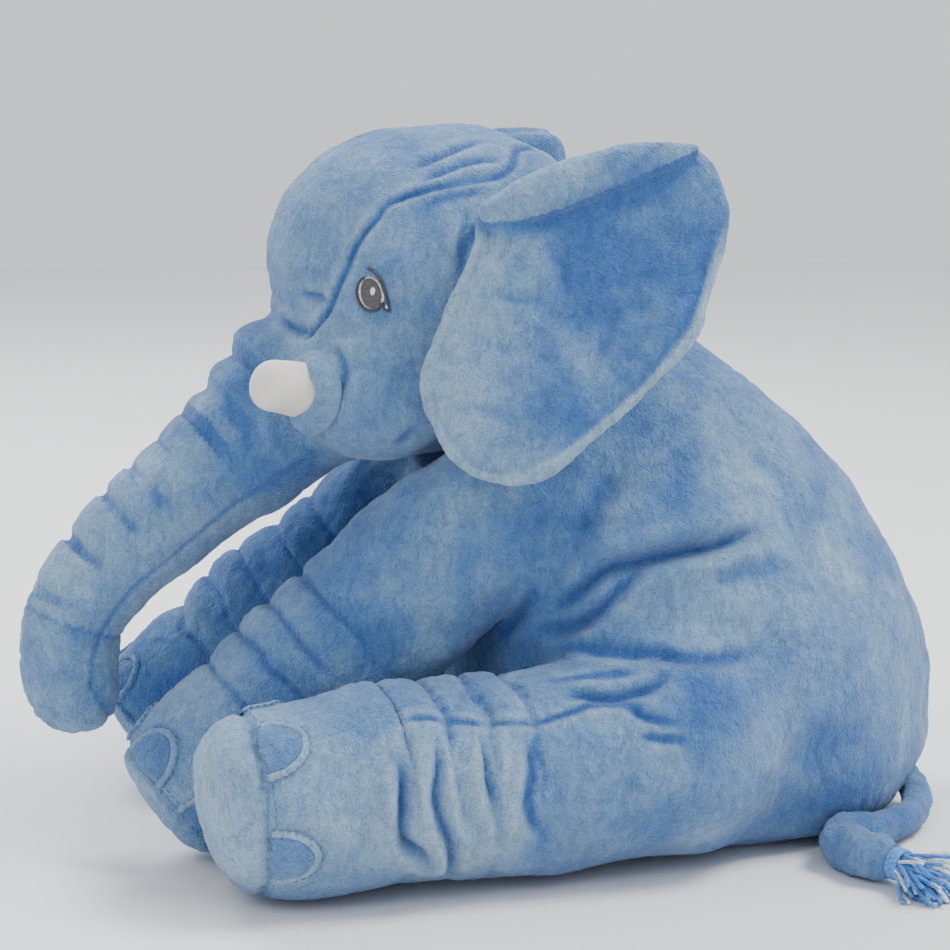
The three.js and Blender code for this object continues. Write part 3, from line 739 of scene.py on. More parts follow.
def plush_material(name, dark, middle, light, pale):
    """Short-pile velour: clouds of brushed nap, a fine pile and bright edges, with the painted shade and
    painted highlights of the tone attribute.
    """
    material, tree, shader, place = new_material(name)
    broad = noise_node(tree, place, 7.5, 2.5, 0.55, 0.9)
    small = noise_node(tree, place, 34.0, 3.0, 0.6, 0.6)
    nap = noise_node(tree, place, 150.0, 2.0, 0.55, 1.2, stretch=(1.0, 1.0, 0.45))
    pile = noise_node(tree, place, 820.0, 2.0, 0.6)
    value = math_node(tree, "MULTIPLY", broad.outputs["Fac"], 0.74)
    value = math_node(tree, "ADD", value, math_node(tree, "MULTIPLY", small.outputs["Fac"], 0.26))
    # The tone attribute brings the painted shade in creases and grooves and the painted highlights on
    # ridges and ear rims into the nap colour.
    attribute = tree.nodes.new("ShaderNodeAttribute")
    attribute.attribute_name = "tone"
    value = math_node(tree, "ADD", value, math_node(tree, "MULTIPLY", attribute.outputs["Fac"], 0.16))
    cloudy = ramp_node(tree, value, [(0.36, dark), (0.46, middle), (0.57, light), (0.70, pale)])
    speckle = ramp_node(tree, pile.outputs["Fac"], [(0.34, (0.42, 0.5, 0.62)), (0.6, (1, 1, 1))])
    streak = ramp_node(tree, nap.outputs["Fac"], [(0.38, (0.58, 0.66, 0.78)), (0.56, (1, 1, 1))])
    colour = mix_node(tree, "MULTIPLY", 0.55, cloudy.outputs["Color"], speckle.outputs["Color"])
    colour = mix_node(tree, "MULTIPLY", 0.55, colour, streak.outputs["Color"])
    wrinkle = noise_node(tree, place, 105.0, 4.0, 0.6, 2.2)
    crest = math_node(tree, "ABSOLUTE", math_node(tree, "SUBTRACT", wrinkle.outputs["Fac"], 0.5), 0.0)
    folds = bump_node(tree, crest, 0.75, 0.006)
    relief = bump_node(tree, pile.outputs["Fac"], 0.6, 0.0016, folds)
    finished(tree, shader, colour, 0.9, relief, Specular_IOR_Level=0.15, Sheen_Weight=0.4,
             Sheen_Roughness=0.4, Sheen_Tint=(0.82, 0.9, 1.0, 1))
    return material


def felt_material(name, colour):
    """Smooth brushed felt."""
    material, tree, shader, place = new_material(name)
    soft = noise_node(tree, place, 60.0, 3.0)
    fibre = noise_node(tree, place, 900.0, 3.0, 0.6, 1.0)
    deep = tuple(c * 0.86 for c in colour)
    blush = ramp_node(tree, soft.outputs["Fac"], [(0.35, deep), (0.65, colour)])
    fuzz = ramp_node(tree, fibre.outputs["Fac"], [(0.3, (0.86, 0.85, 0.83)), (0.6, (1, 1, 1))])
    shade = mix_node(tree, "MULTIPLY", 0.7, blush.outputs["Color"], fuzz.outputs["Color"])
    relief = bump_node(tree, fibre.outputs["Fac"], 0.3, 0.0007)
    finished(tree, shader, shade, 0.85, relief, Specular_IOR_Level=0.2, Sheen_Weight=0.35,
             Sheen_Tint=(1.0, 0.98, 0.95, 1))
    return material


def thread_material(name, colour, roughness=0.45):
    """Satin-stitch or yarn thread, with a fine twist."""
    material, tree, shader, place = new_material(name)
    twist = noise_node(tree, place, 700.0, 1.0, 0.5, 0.0, stretch=(0.35, 0.35, 1.6))
    shade = tuple(c * 0.6 for c in colour)
    tones = ramp_node(tree, twist.outputs["Fac"], [(0.35, shade), (0.6, colour)])
    relief = bump_node(tree, twist.outputs["Fac"], 0.5, 0.0005)
    finished(tree, shader, tones.outputs["Color"], roughness, relief, Sheen_Weight=0.2)
    return material


def floor_material(name, colour):
    """A pale matt studio floor."""
    material, tree, shader, place = new_material(name)
    mottle = noise_node(tree, place, 3.0, 2.0)
    deep = tuple(c * 0.97 for c in colour)
    tones = ramp_node(tree, mottle.outputs["Fac"], [(0.3, deep), (0.7, colour)])
    finished(tree, shader, tones.outputs["Color"], 0.7)
    return material


# Plush: the colour of the panel it starts from, and its dark, middle, light and pale nap as shares of that.
PLUSH_TONES = {
    "plush": ("plush", "blue plush", (0.42, 0.6, 0.86), (0.82, 0.9, 0.98), (1.6, 1.35, 1.12),
              (2.5, 1.8, 1.25)),
    "plush_pale": ("plush", "pale plush", (1.0, 1.0, 1.02), (1.5, 1.3, 1.12), (2.1, 1.6, 1.22),
                   (2.7, 1.9, 1.3)),
    "plush_deep": ("plush_deep", "deep plush", (0.7, 0.75, 0.8), (1, 1, 1), (1.35, 1.25, 1.15),
                   (1.7, 1.5, 1.3)),
}
YARN_ROUGHNESS = 0.6
THREAD_COLOURS = {
    "dark thread": (0.035, 0.038, 0.05),
    "iris thread": (0.075, 0.068, 0.074),
    "white thread": (0.85, 0.87, 0.9),
}
MATERIALS = {}


def material(name):
    """The toy's materials, each made once, in the colours of the panel."""
    if name not in MATERIALS:
        look = bpy.context.scene.elephant_colours
        if name in PLUSH_TONES:
            source, label, *tones = PLUSH_TONES[name]
            base = tuple(getattr(look, source))
            MATERIALS[name] = plush_material(label, *(scaled(base, *tone) for tone in tones))
        elif name == "felt":
            MATERIALS[name] = felt_material("tusk felt", tuple(look.felt))
        elif name == "yarn":
            MATERIALS[name] = thread_material("bright yarn", tuple(look.yarn), YARN_ROUGHNESS)
        elif name == "yarn_white":
            MATERIALS[name] = thread_material("white yarn", (0.82, 0.86, 0.9), YARN_ROUGHNESS)
        elif name == "blue thread":
            MATERIALS[name] = thread_material(name, scaled(look.plush_deep, 0.8, 0.85, 0.9))
        elif name == "floor":
            MATERIALS[name] = floor_material("studio floor", (0.86, 0.86, 0.87))
        else:
            MATERIALS[name] = thread_material(name, THREAD_COLOURS[name])
    return MATERIALS[name]


def scaled(colour, r, g, b):
    """A colour with each part multiplied, kept within range."""
    return tuple(min(1.0, c * k) for c, k in zip(colour, (r, g, b)))


# ------------------------------------------------------------------ body skin


def body_fields(x, y, z, slot):
    """The torso and each leg, parted from each other by slots where they only touch."""
    torso = torso_field(x, y, z)
    legs = {}
    carved = torso
    for name, leg in LEGS.items():
        field = limb_field(leg, x, y, z)
        s = limb_coordinates(leg, x, y, z)[0]
        free = ramp(s, leg["bond"] - 16, leg["bond"] + 4)
        gap = slot / 2 - 44 * (1 - free)
        legs[name] = (np.maximum(field, (field - torso) / 2 + gap), free)
        carved = np.maximum(carved, (torso - field) / 2 + gap)
    for side in ("left", "right"):
        (front, free_front), (hind, free_hind) = legs[f"leg_front_{side}"], legs[f"leg_hind_{side}"]
        legs[f"leg_front_{side}"] = (np.maximum(front, (front - hind) / 2 + slot / 2), free_front)
        legs[f"leg_hind_{side}"] = (np.maximum(hind, (hind - front) / 2 + slot / 2), free_hind)
    return carved, legs


def body_field(x, y, z, slot):
    """Distance to the whole body skin, hollowed where the head and the tail lie."""
    torso, legs = body_fields(x, y, z, slot)
    whole = torso
    for field, free in legs.values():
        whole = np.minimum(whole, join_soft(torso, field, 0.4 + 21.6 * (1 - free)))
    c, s = math.cos(-HEAD_TURN), math.sin(-HEAD_TURN)
    hx, hy = c * x - s * (y - NECK[1]), s * x + c * (y - NECK[1]) + NECK[1]
    whole = cut_soft(whole, 4.0 - head_field(hx, hy, z), 8.0)
    return cut_soft(whole, FLOOR_GAP - z, 9.0)


def sculpt_body(work):
    """Seams, folds and stuffing of the torso and the legs."""
    p = work.points
    work.lumps(1.5, 95, 11)
    work.lumps(0.7, 42, 12)
    work.crumple(0.7, 17, 13)
    for side in (1, -1):
        # Each fold and the side seam is a groove with painted shade in it and painted highlight on its
        # ridges, set by dark.
        for line, depth, width in BODY_FOLDS:
            path = smooth_line([(side * x, y, z) for x, y, z in line], 24)
            work.groove(path, depth * 1.2, width, puff=depth * 0.65, dark=5.0 / width, fade=0.26,
                        facing=(side, 0, 0.2))
        seam = smooth_line([(side * x, y, z) for x, y, z in SIDE_SEAM], 24)
        work.groove(seam, 1.8, 1.7, puff=0.8, dark=1.8, fade=0.08)
    wander = cloud(p, 30, 77)
    sway = cloud(p, 24, 31) * 1.8
    for leg in LEGS.values():
        s, radius, u, v = limb_coordinates(leg, *p.T)
        mine = (limb_field(leg, *p.T) < 9) & (s > 20)
        seam = np.exp(-((s - leg["length"]) / 2.1) ** 2) * mine
        work.move -= 2.2 * seam
        # Painted shade in the sole seam groove.
        work.tone -= 0.6 * seam
        puff = np.exp(-((s - leg["length"] + 6) / 4.0) ** 2) * mine
        work.move += 0.7 * puff
        upward = v / np.maximum(radius, 1e-3)
        outward = u / np.maximum(radius, 1e-3)
        share = leg["low"] + (1 - leg["low"]) * ramp(upward + 0.35 * outward, -0.3, 0.8)
        for crease in leg["creases"]:
            past = s + wander + 3 * u / np.maximum(radius, 1) - crease
            line = np.exp(-(past / 1.7) ** 2) * mine
            work.move -= 1.5 * line * share
            # Painted shade in the creases between the sewn rolls, stronger on the upper and outer side.
            work.tone -= 0.9 * line * share
        gathers = np.sin(np.arctan2(u, v) * 26 + sway)
        work.move += 0.25 * gathers * np.exp(-((s - leg["length"]) / 9.0) ** 2) * mine
    floor = ramp(-p[:, 2], -14, 0)
    work.move *= 1 - 0.8 * floor


def body_skin():
    """The body's sculpted skin, the label of each face, and the label of each piece."""
    step = BODY_STEP[1]
    slot = step * 1.7
    low, high = (-256, -262, -6), (256, 296, 322)
    points, quads = march(lambda x, y, z: body_field(x, y, z, slot), low, high, step)
    points = relaxed(points, quads, 2)
    work = Sculpt(points, quads)
    sculpt_body(work)
    centres = points[quads].mean(axis=1)
    labels = np.zeros(len(quads), int)
    nearest = torso_field(*centres.T)
    names = ["torso"]
    for name, leg in LEGS.items():
        s = limb_coordinates(leg, *centres.T)[0]
        field = limb_field(leg, *centres.T)
        edge = LEG_BOUNDARY["front" if "front" in name else "hind"]
        mine = (s > edge) & (field < nearest)
        names.append(name)
        labels[mine] = len(names) - 1
        nearest[mine] = field[mine]
    work.finish(floor=True)
    return work, labels, {name: i for i, name in enumerate(names)}


# ------------------------------------------------------------------ operators


def loose_parts_removed(quads, keep, points_count):
    """The kept faces without specks that aren't joined to the largest patch."""
    faces = quads[keep]
    label = np.arange(points_count)
    for _ in range(400):
        low = label[faces].min(axis=1)
        new = label.copy()
        for i in range(4):
            np.minimum.at(new, faces[:, i], low)
        new = new[new]
        if np.array_equal(new, label):
            break
        label = new
    face_label = label[faces[:, 0]]
    values, counts = np.unique(face_label, return_counts=True)
    main = values[counts.argmax()]
    result = keep.copy()
    result[np.nonzero(keep)[0][face_label != main]] = False
    return result


def surface_tree(objects):
    """A tree of the finished surfaces, to lay patches and stitches on."""
    points, faces = [], []
    for piece in objects:
        offset = len(points)
        points += [v.co.copy() for v in piece.data.vertices]
        faces += [[i + offset for i in polygon.vertices] for polygon in piece.data.polygons]
    return BVHTree.FromPolygons(points, faces)


SKINS = {}


class ELEPHANT_OT_body(bpy.types.Operator):
    """Torso and four legs, sewn from one skin and stuffed"""

    bl_idname = "elephant.body"
    bl_label = "Torso and legs"

    def execute(self, context):
        work, labels, names = body_skin()
        blue, pale = material("plush"), material("plush_pale")
        centres = work.points[work.quads].mean(axis=1)

        def make(name, keep, finish):
            return skin_piece(name, work.points, work.quads, work.normals, work.tone, keep, finish,
                              core=BODY_CORE)

        count = len(work.points)
        shell = loose_parts_removed(work.quads, np.ones(len(work.quads), bool), count)
        for name in LEGS:
            mine = (labels == names[name]) & shell
            labels[mine & ~loose_parts_removed(work.quads, mine, count)] = 0
        torso = make("torso_plush", (labels == 0) & shell, blue)
        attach(torso, "torso")
        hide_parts("torso_side_left", "torso_side_right", "torso_seat_panel", "torso_stuffing")
        SKINS["torso"] = torso
        for name, leg in LEGS.items():
            s = limb_coordinates(leg, *centres.T)[0]
            keep = (labels == names[name]) & shell
            cover = make(f"{name}_plush", keep & (s <= leg["length"]), blue)
            sole = make(f"{name}_sole_plush", keep & (s > leg["length"]), pale)
            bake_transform(cover)
            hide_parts(f"{name}_cover", f"{name}_stuffing")
            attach(sole, name)
            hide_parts(f"{name}_sole")
            SKINS[name] = cover
            SKINS[f"{name}_sole"] = sole
        return {"FINISHED"}


def on_leg(tree, leg, s, angle, lift):
    """A point on the finished skin of a leg, and the way the skin faces there."""
    along, out, up = limb_frame(leg)
    turn = math.radians(angle)
    radial = unit(math.cos(turn) * up + math.sin(turn) * out * leg["squash"])
    centre = np.array(leg["pivot"], float) + along * s
    origin = centre + radial * 95
    hit = tree.ray_cast(Vector(to_row(origin)), Vector(-radial))
    if hit[0] is None:
        raise RuntimeError(f"no skin under a toe at {s} mm")
    place = (np.array(hit[0]) / MM) - SHIFT
    facing = np.array(hit[1])
    if facing @ radial < 0:
        facing = -facing
    return place + unit(facing + radial * 0.6) * lift, radial


def toe_spot(tree, leg, angle, across, back, lift):
    """A point on the foot, across and back from the middle of a toe's straight edge."""
    radius = 46.0 if leg["length"] > 254 else 54.0
    return on_leg(tree, leg, leg["length"] - TOE_GAP - back,
                  angle + math.degrees(across / radius), lift)[0]


def toe_edge(tree, leg, angle, half_width, length):
    """The path along the round edge of a toe patch."""
    edge = []
    for a in (math.pi * j / 40 for j in range(41)):
        across, back = half_width * math.cos(a), length * math.sin(a)
        edge.append(toe_spot(tree, leg, angle, across, back, 0.6))
    return np.array(edge)


def toe_patch(tree, leg, angle):
    """Points and faces of a half-round toe patch."""
    rows, columns = 10, 20
    points = []
    for i in range(rows + 1):
        share = i / rows
        for j in range(columns + 1):
            a = math.pi * j / columns
            across, back = TOE_HALF_WIDTH * share * math.cos(a), TOE_LENGTH * share * math.sin(a)
            points.append(toe_spot(tree, leg, angle, across, back, 0.5 + 1.5 * (1 - share ** 2)))
    return np.array(points), grid_faces(rows + 1, columns + 1, closed_columns=False)


class ELEPHANT_OT_toes(bpy.types.Operator):
    """Three half-round toe patches with a piped edge on every foot"""

    bl_idname = "elephant.toes"
    bl_label = "Toe patches"

    def execute(self, context):
        for name, leg in LEGS.items():
            tree = surface_tree([SKINS[name], SKINS[f"{name}_sole"]])
            for i, angle in enumerate(TOE_ANGLES):
                points, faces = toe_patch(tree, leg, angle)
                edge = toe_edge(tree, leg, angle, TOE_HALF_WIDTH + 1.5, TOE_LENGTH + 1.5)
                piece = simple_mesh(f"{name}_toe_{i + 1}_patch", points, faces, material("plush_deep"))
                solid = piece.modifiers.new("thickness", "SOLIDIFY")
                solid.thickness, solid.offset = 1.2 * MM, -1.0
                apply_modifiers(piece)
                face_out(piece)
                tube, tube_faces = swept_tube(edge, PIPING_RADIUS, 8, up=limb_frame(leg)[0])
                piping = simple_mesh(f"{name}_toe_{i + 1}_piping", tube, tube_faces,
                                     material("plush"), 0.35)
                face_out(piping)
                for part, finish in ((piece, "plush_deep"), (piping, "plush")):
                    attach(part, name)
                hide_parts(f"{name}_toe_{i + 1}")
        return {"FINISHED"}


def stitch_group():
    """A node group that lays one short thread after another along an edge path."""
    group = bpy.data.node_groups.new("stitches", "GeometryNodeTree")
    face = group.interface
    face.new_socket(name="Path", in_out="INPUT", socket_type="NodeSocketGeometry")
    for label in ("Spacing", "Length", "Thickness"):
        face.new_socket(name=label, in_out="INPUT", socket_type="NodeSocketFloat")
    face.new_socket(name="Thread", in_out="INPUT", socket_type="NodeSocketMaterial")
    face.new_socket(name="Stitches", in_out="OUTPUT", socket_type="NodeSocketGeometry")
    add, link = group.nodes.new, group.links.new
    start, finish = add("NodeGroupInput"), add("NodeGroupOutput")
    curve, even = add("GeometryNodeMeshToCurve"), add("GeometryNodeResampleCurve")
    even.mode = "LENGTH"
    tangent, turn = add("GeometryNodeInputTangent"), add("FunctionNodeAlignRotationToVector")
    turn.axis = "Z"
    size, bead = add("ShaderNodeCombineXYZ"), add("GeometryNodeMeshUVSphere")
    bead.inputs["Segments"].default_value = 8
    bead.inputs["Rings"].default_value = 6
    bead.inputs["Radius"].default_value = 0.5
    place, real = add("GeometryNodeInstanceOnPoints"), add("GeometryNodeRealizeInstances")
    dress = add("GeometryNodeSetMaterial")
    link(start.outputs["Path"], curve.inputs["Mesh"])
    link(curve.outputs["Curve"], even.inputs["Curve"])
    link(start.outputs["Spacing"], even.inputs["Length"])
    link(even.outputs["Curve"], place.inputs["Points"])
    link(tangent.outputs["Tangent"], turn.inputs["Vector"])
    link(turn.outputs["Rotation"], place.inputs["Rotation"])
    for axis in "XY":
        link(start.outputs["Thickness"], size.inputs[axis])
    link(start.outputs["Length"], size.inputs["Z"])
    link(size.outputs["Vector"], place.inputs["Scale"])
    link(bead.outputs["Mesh"], place.inputs["Instance"])
    link(place.outputs["Instances"], real.inputs["Geometry"])
    link(real.outputs["Geometry"], dress.inputs["Geometry"])
    link(start.outputs["Thread"], dress.inputs["Material"])
    link(dress.outputs["Geometry"], finish.inputs["Stitches"])
    return group


def stitched(name, paths, thread):
    """A piece made of stitches along paths given in millimetres; a path is (points, closed)."""
    points, edges = [], []
    for path, closed in paths:
        first = len(points)
        points += list(path)
        edges += [(i, i + 1) for i in range(first, len(points) - 1)]
        if closed:
            edges.append((len(points) - 1, first))
    mesh = bpy.data.meshes.new(name)
    mesh.from_pydata(to_row(points).tolist(), edges, [])
    guide = placed(name, mesh)
    group = bpy.data.node_groups.get("stitches") or stitch_group()
    nodes = guide.modifiers.new("stitches", "NODES")
    nodes.node_group = group
    values = {"Spacing": STITCH_SPACING * MM, "Length": STITCH_LENGTH * MM,
              "Thickness": STITCH_THICKNESS * MM, "Thread": thread}
    for item in group.interface.items_tree:
        if item.item_type == "SOCKET" and item.name in values:
            nodes[item.identifier] = values[item.name]
    graph = bpy.context.evaluated_depsgraph_get()
    result = bpy.data.meshes.new_from_object(guide.evaluated_get(graph))
    bpy.data.objects.remove(guide)
    result.name = name
    result.materials.clear()
    result.materials.append(thread)
    return placed(name, result)


class ELEPHANT_OT_stitches(bpy.types.Operator):
    """Thread along the sole seams and round the toe patches"""

    bl_idname = "elephant.stitches"
    bl_label = "Stitches"

    def execute(self, context):
        for name, leg in LEGS.items():
            tree = surface_tree([SKINS[name], SKINS[f"{name}_sole"]])
            ring = [on_leg(tree, leg, leg["length"] - 4.0, a, 0.1)[0] for a in range(0, 360, 4)]
            paths = [(ring, True)]
            for angle in TOE_ANGLES:
                edge = toe_edge(tree, leg, angle, TOE_HALF_WIDTH + 4.0, TOE_LENGTH + 4.5)
                paths.append((edge + unit(edge.mean(axis=0) - limb_middle(leg, edge)) * 1.1, False))
            piece = stitched(f"{name}_stitches", paths, material("blue thread"))
            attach(piece, name)
        return {"FINISHED"}


def limb_middle(leg, edge):
    """The point on the middle line of a leg beside a patch."""
    along = limb_frame(leg)[0]
    pivot = np.array(leg["pivot"], float)
    return pivot + along * ((edge.mean(axis=0) - pivot) @ along)


def apply_modifiers(piece):
    """Turns the modified shape into the piece's own mesh."""
    graph = bpy.context.evaluated_depsgraph_get()
    mesh = bpy.data.meshes.new_from_object(piece.evaluated_get(graph))
    piece.modifiers.clear()
    piece.data = mesh


def face_out(piece):
    """Merges doubles and turns every face outwards."""
    work = bmesh.new()
    work.from_mesh(piece.data)
    bmesh.ops.remove_doubles(work, verts=work.verts, dist=0.02 * MM)
    bmesh.ops.recalc_face_normals(work, faces=work.faces)
    work.to_mesh(piece.data)
    work.free()


# ------------------------------------------------------------------ head and trunk


def sculpt_head(work):
    """Forehead seams, tucks and stuffing of the head and the trunk."""
    p = work.points
    work.lumps(1.1, 80, 21)
    work.lumps(0.5, 36, 22)
    work.crumple(0.5, 15, 23)
    for side in (1, -1):
        # The brow seam and the head folds are grooves with painted shade in them and painted highlight on
        # their ridges.
        seam = smooth_line([(side * x, y, z) for x, y, z in BROW_SEAM], 40)
        work.groove(seam, 2.4, 1.9, puff=1.1, dark=1.6)
        for line, depth, width in HEAD_FOLDS:
            path = smooth_line([(side * x, y, z) for x, y, z in line], 16)
            work.groove(path, depth, width, puff=depth * 0.45, dark=1.1, fade=0.3)
    along, d, radius, upward = trunk_coordinates(*p.T)
    on_trunk = ((d - radius) < 8) & (along > 48)
    for crease in TRUNK_CREASES:
        line = np.exp(-((along + cloud(p, 60, 41) * 1.2 - crease) / 2.6) ** 2) * on_trunk
        share = ramp(upward, -0.1, 0.8)
        work.move -= 0.9 * line * share
        # Painted shade in the trunk's creases, on its upper side.
        work.tone -= 1.4 * line * share
    seam = np.exp(-((upward + 0.42) / 0.05) ** 2) * on_trunk * ramp(along, 60, 80)
    work.move -= 1.2 * seam
    # Painted shade in the seam groove under the trunk.
    work.tone -= 0.9 * seam
    total = along.max()
    cross = np.exp(-((along - (total - 44)) / 1.8) ** 2) * on_trunk
    work.move -= 1.4 * cross
    # Painted shade in the crease near the trunk's end.
    work.tone -= 0.8 * cross
    tip = ramp(along, total - 46, total - 14)
    work.crumple(1.2, 11, 43, where=tip * (d - radius < 8))


def head_whole(x, y, z):
    """Distance to the head with its trunk."""
    return join_soft(head_field(x, y, z), trunk_field(x, y, z), 15)


class ELEPHANT_OT_head(bpy.types.Operator):
    """Head and trunk, sewn from one skin and stuffed"""

    bl_idname = "elephant.head"
    bl_label = "Head and trunk"

    def execute(self, context):
        step = HEAD_STEP[1]
        points, quads = march(head_whole, (-106, -296, 60), (106, 96, 436), step)
        points = relaxed(points, quads, 2)
        work = Sculpt(points, quads)
        sculpt_head(work)
        centres = points[quads].mean(axis=1)
        labels = np.zeros(len(quads), int)
        starts = []
        for i, (name, pivot, direction, (edge, start, end)) in enumerate(TRUNK_JOINTS):
            base = np.array([0, *pivot], float)
            way = unit([0, *direction])
            labels[(centres - base) @ way > edge] = i + 1
            starts.append((base + way * start, base + way * end))
        work.finish()
        work.points = look_left(work.points)
        work.normals = normals_of(work.points, work.quads)
        SKINS["head_tree"] = BVHTree.FromPolygons(
            [Vector(p) for p in to_row(work.points)], work.quads.tolist())
        blue = material("plush")

        def make(name, keep):
            return skin_piece(name, work.points, work.quads, work.normals, work.tone, keep, blue)

        head = make("head_plush", labels == 0)
        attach(head, "head")
        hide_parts("head_side_left", "head_side_right", "head_forehead_gusset", "head_stuffing")
        bodies = ["head", "trunk_upper", "trunk_middle", "trunk_lower"]
        for i, (start, end) in enumerate(starts):
            part = make(f"{bodies[i + 1]}_plush", labels == i + 1)
            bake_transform(part)
            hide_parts(f"{bodies[i + 1]}_cover", f"{bodies[i + 1]}_stuffing")
        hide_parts("trunk_end_panel")
        return {"FINISHED"}


class ELEPHANT_OT_neck(bpy.types.Operator):
    """Stuffed neck, hidden between the head and the shoulders"""

    bl_idname = "elephant.neck"
    bl_label = "Neck"

    def execute(self, context):
        rings, sides = 18, 48
        points = []
        for i in range(rings + 1):
            a = -math.pi / 2 + math.pi * i / rings
            for j in range(sides):
                b = 2 * math.pi * j / sides
                r = NECK_RADIUS * math.cos(a) ** 0.5 if 0 < i < rings else 0.5
                r *= 1 + 0.02 * math.sin(9 * b)
                points.append(NECK + (r * math.cos(b), r * math.sin(b), NECK_HALF_HEIGHT * math.sin(a)))
        faces = grid_faces(rings + 1, sides)
        faces.append(tuple(range(sides))[::-1])
        faces.append(tuple(rings * sides + j for j in range(sides)))
        piece = simple_mesh("neck_plush", np.array(points), faces, material("plush"))
        face_out(piece)
        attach(piece, "neck")
        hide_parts("neck_stuffing")
        return {"FINISHED"}


# ------------------------------------------------------------------ ears


def ear_axes():
    """The ear's directions: back, down and outwards."""
    down, back = unit(EAR_DOWN), unit(EAR_BACK)
    inward = unit(np.cross(back, down))
    down = np.cross(inward, back)
    return back, down, -inward


def ear_rim():
    """The smooth rim of an ear, in its own plane."""
    return smooth_line(EAR_OUTLINE + EAR_OUTLINE[:1], 110)[:-1]


def outline_distance(u, v, outline):
    """Signed distance in the plane of the ear to its outline, negative inside."""
    best = np.full(u.shape, 1e9)
    inside = np.zeros(u.shape, bool)
    for (ax, ay), (bx, by) in zip(outline, np.roll(outline, -1, axis=0)):
        dx, dy = bx - ax, by - ay
        t = np.clip(((u - ax) * dx + (v - ay) * dy) / (dx * dx + dy * dy), 0, 1)
        best = np.minimum(best, np.hypot(u - ax - t * dx, v - ay - t * dy))
        crosses = ((ay > v) != (by > v)) & (u < (bx - ax) * (v - ay) / (by - ay + 1e-12) + ax)
        inside ^= crosses
    return np.where(inside, -best, best)


def ear_field(u, v, w):
    """Distance to an ear: a padded petal whose upper edge is folded over to the front."""
    flat_u, flat_v = np.broadcast_arrays(u[..., 0], v[..., 0])
    edge = outline_distance(flat_u, flat_v, ear_rim())[..., None]
    cup = 5.0 * ramp(v, 20, 150) - 4.0 * ramp(u, 30, 110) + 2.2 * np.sin(u / 21 + v / 34)
    depth = np.clip(-edge / 24.0, 0, 1)
    half = 2.4 + 5.8 * np.sqrt(np.clip(1 - (1 - depth) ** 2, 0, 1))
    petal = cut_soft(np.abs(w - cup) - half, edge, 3.5)
    fold = smooth_line(EAR_FOLD, 40)
    spots = np.stack([flat_u.ravel(), flat_v.ravel()], -1)
    away, share = polyline_distance(spots, fold[:, :2])
    steps = np.concatenate([[0], np.cumsum(np.linalg.norm(np.diff(fold[:, :2], axis=0), axis=1))])
    wide = np.interp(share, steps / steps[-1], fold[:, 2]).reshape(edge.shape)
    away = away.reshape(edge.shape)
    thick = 3.0 + 0.42 * wide
    roll = (np.sqrt((away / wide) ** 2 + ((w - cup - 7.5 - 0.12 * wide) / thick) ** 2) - 1) * thick
    root = ellipsoid(u, v, w, EAR_STEM, EAR_STEM_RADII)
    return join_soft(roll, join_soft(petal, root, 9.0), 1.6)


class ELEPHANT_OT_ears(bpy.types.Operator):
    """Two loose padded ears, each with its top edge folded over"""

    bl_idname = "elephant.ears"
    bl_label = "Ears"

    def execute(self, context):
        step = EAR_STEP[1]
        points, quads = march(ear_field, (-58, -50, -48), (142, 178, 32), step)
        points = relaxed(points, quads, 2)
        work = Sculpt(points, quads)
        work.lumps(0.9, 60, 51)
        work.lumps(0.45, 26, 52)
        work.crumple(0.4, 12, 53)
        along, below = points[:, 0], points[:, 1]
        edge = outline_distance(along, below, ear_rim())
        hem = np.exp(-((edge + 8.5) / 2.2) ** 2) * (below > 18)
        work.move -= 0.9 * hem
        # Painted shade in the hem groove.
        work.tone -= 0.25 * hem
        # Painted rim light: the tone is lightened in a band along the rim; painted light also makes the
        # front part and the lower part of the ear lighter.
        work.tone += 2.2 * ramp(edge, -7.0, -2.5) * ramp(below, 10, 40) * ramp(along, -46, 6)
        work.tone += 0.9 * ramp(-along, -25, 40) + 0.5 * ramp(below, 110, 165)
        # Painted shadow below the folded top edge: a darker patch under its middle, and a dark band just
        # beneath the fold line.
        work.tone -= 0.7 * np.exp(-((along - 62) / 44) ** 2 - ((below - 32) / 34) ** 2)
        fold = smooth_line(EAR_FOLD, 40)
        away, share = polyline_distance(points[:, :2], fold[:, :2])
        past = away - np.interp(share, np.linspace(0, 1, 40), fold[:, 2])
        under = np.exp(-(np.clip(past, 0, 99) / 7.0) ** 2) * (past > -1.5) * (points[:, 2] > 0)
        work.tone -= 1.5 * under * (below > fold[np.clip((share * 39).astype(int), 0, 39), 1])
        # The wrinkles are grooves with painted shade in them and painted highlight on their ridges.
        for line, depth in EAR_WRINKLES:
            work.groove([(*spot, 9) for spot in line], depth, 3.2, puff=depth * 0.6, dark=0.4, fade=0.4)
        back, down, out = ear_axes()
        work.finish()
        frame_matrix = np.stack([back, down, out])
        for name, sign in (("ear_left", 1), ("ear_right", -1)):
            world = EAR_ROOT + work.points @ frame_matrix
            world[:, 0] *= sign
            world = look_left(world)
            faces = faced_out(world, work.quads)
            piece = skin_piece(f"{name}_plush", world, faces, normals_of(world, faces), work.tone,
                               np.ones(len(faces), bool), material("plush"))
            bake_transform(piece)
            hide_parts(f"{name}_front_cloth", f"{name}_batting", f"{name}_back_cloth")
        return {"FINISHED"}


# ------------------------------------------------------------------ face


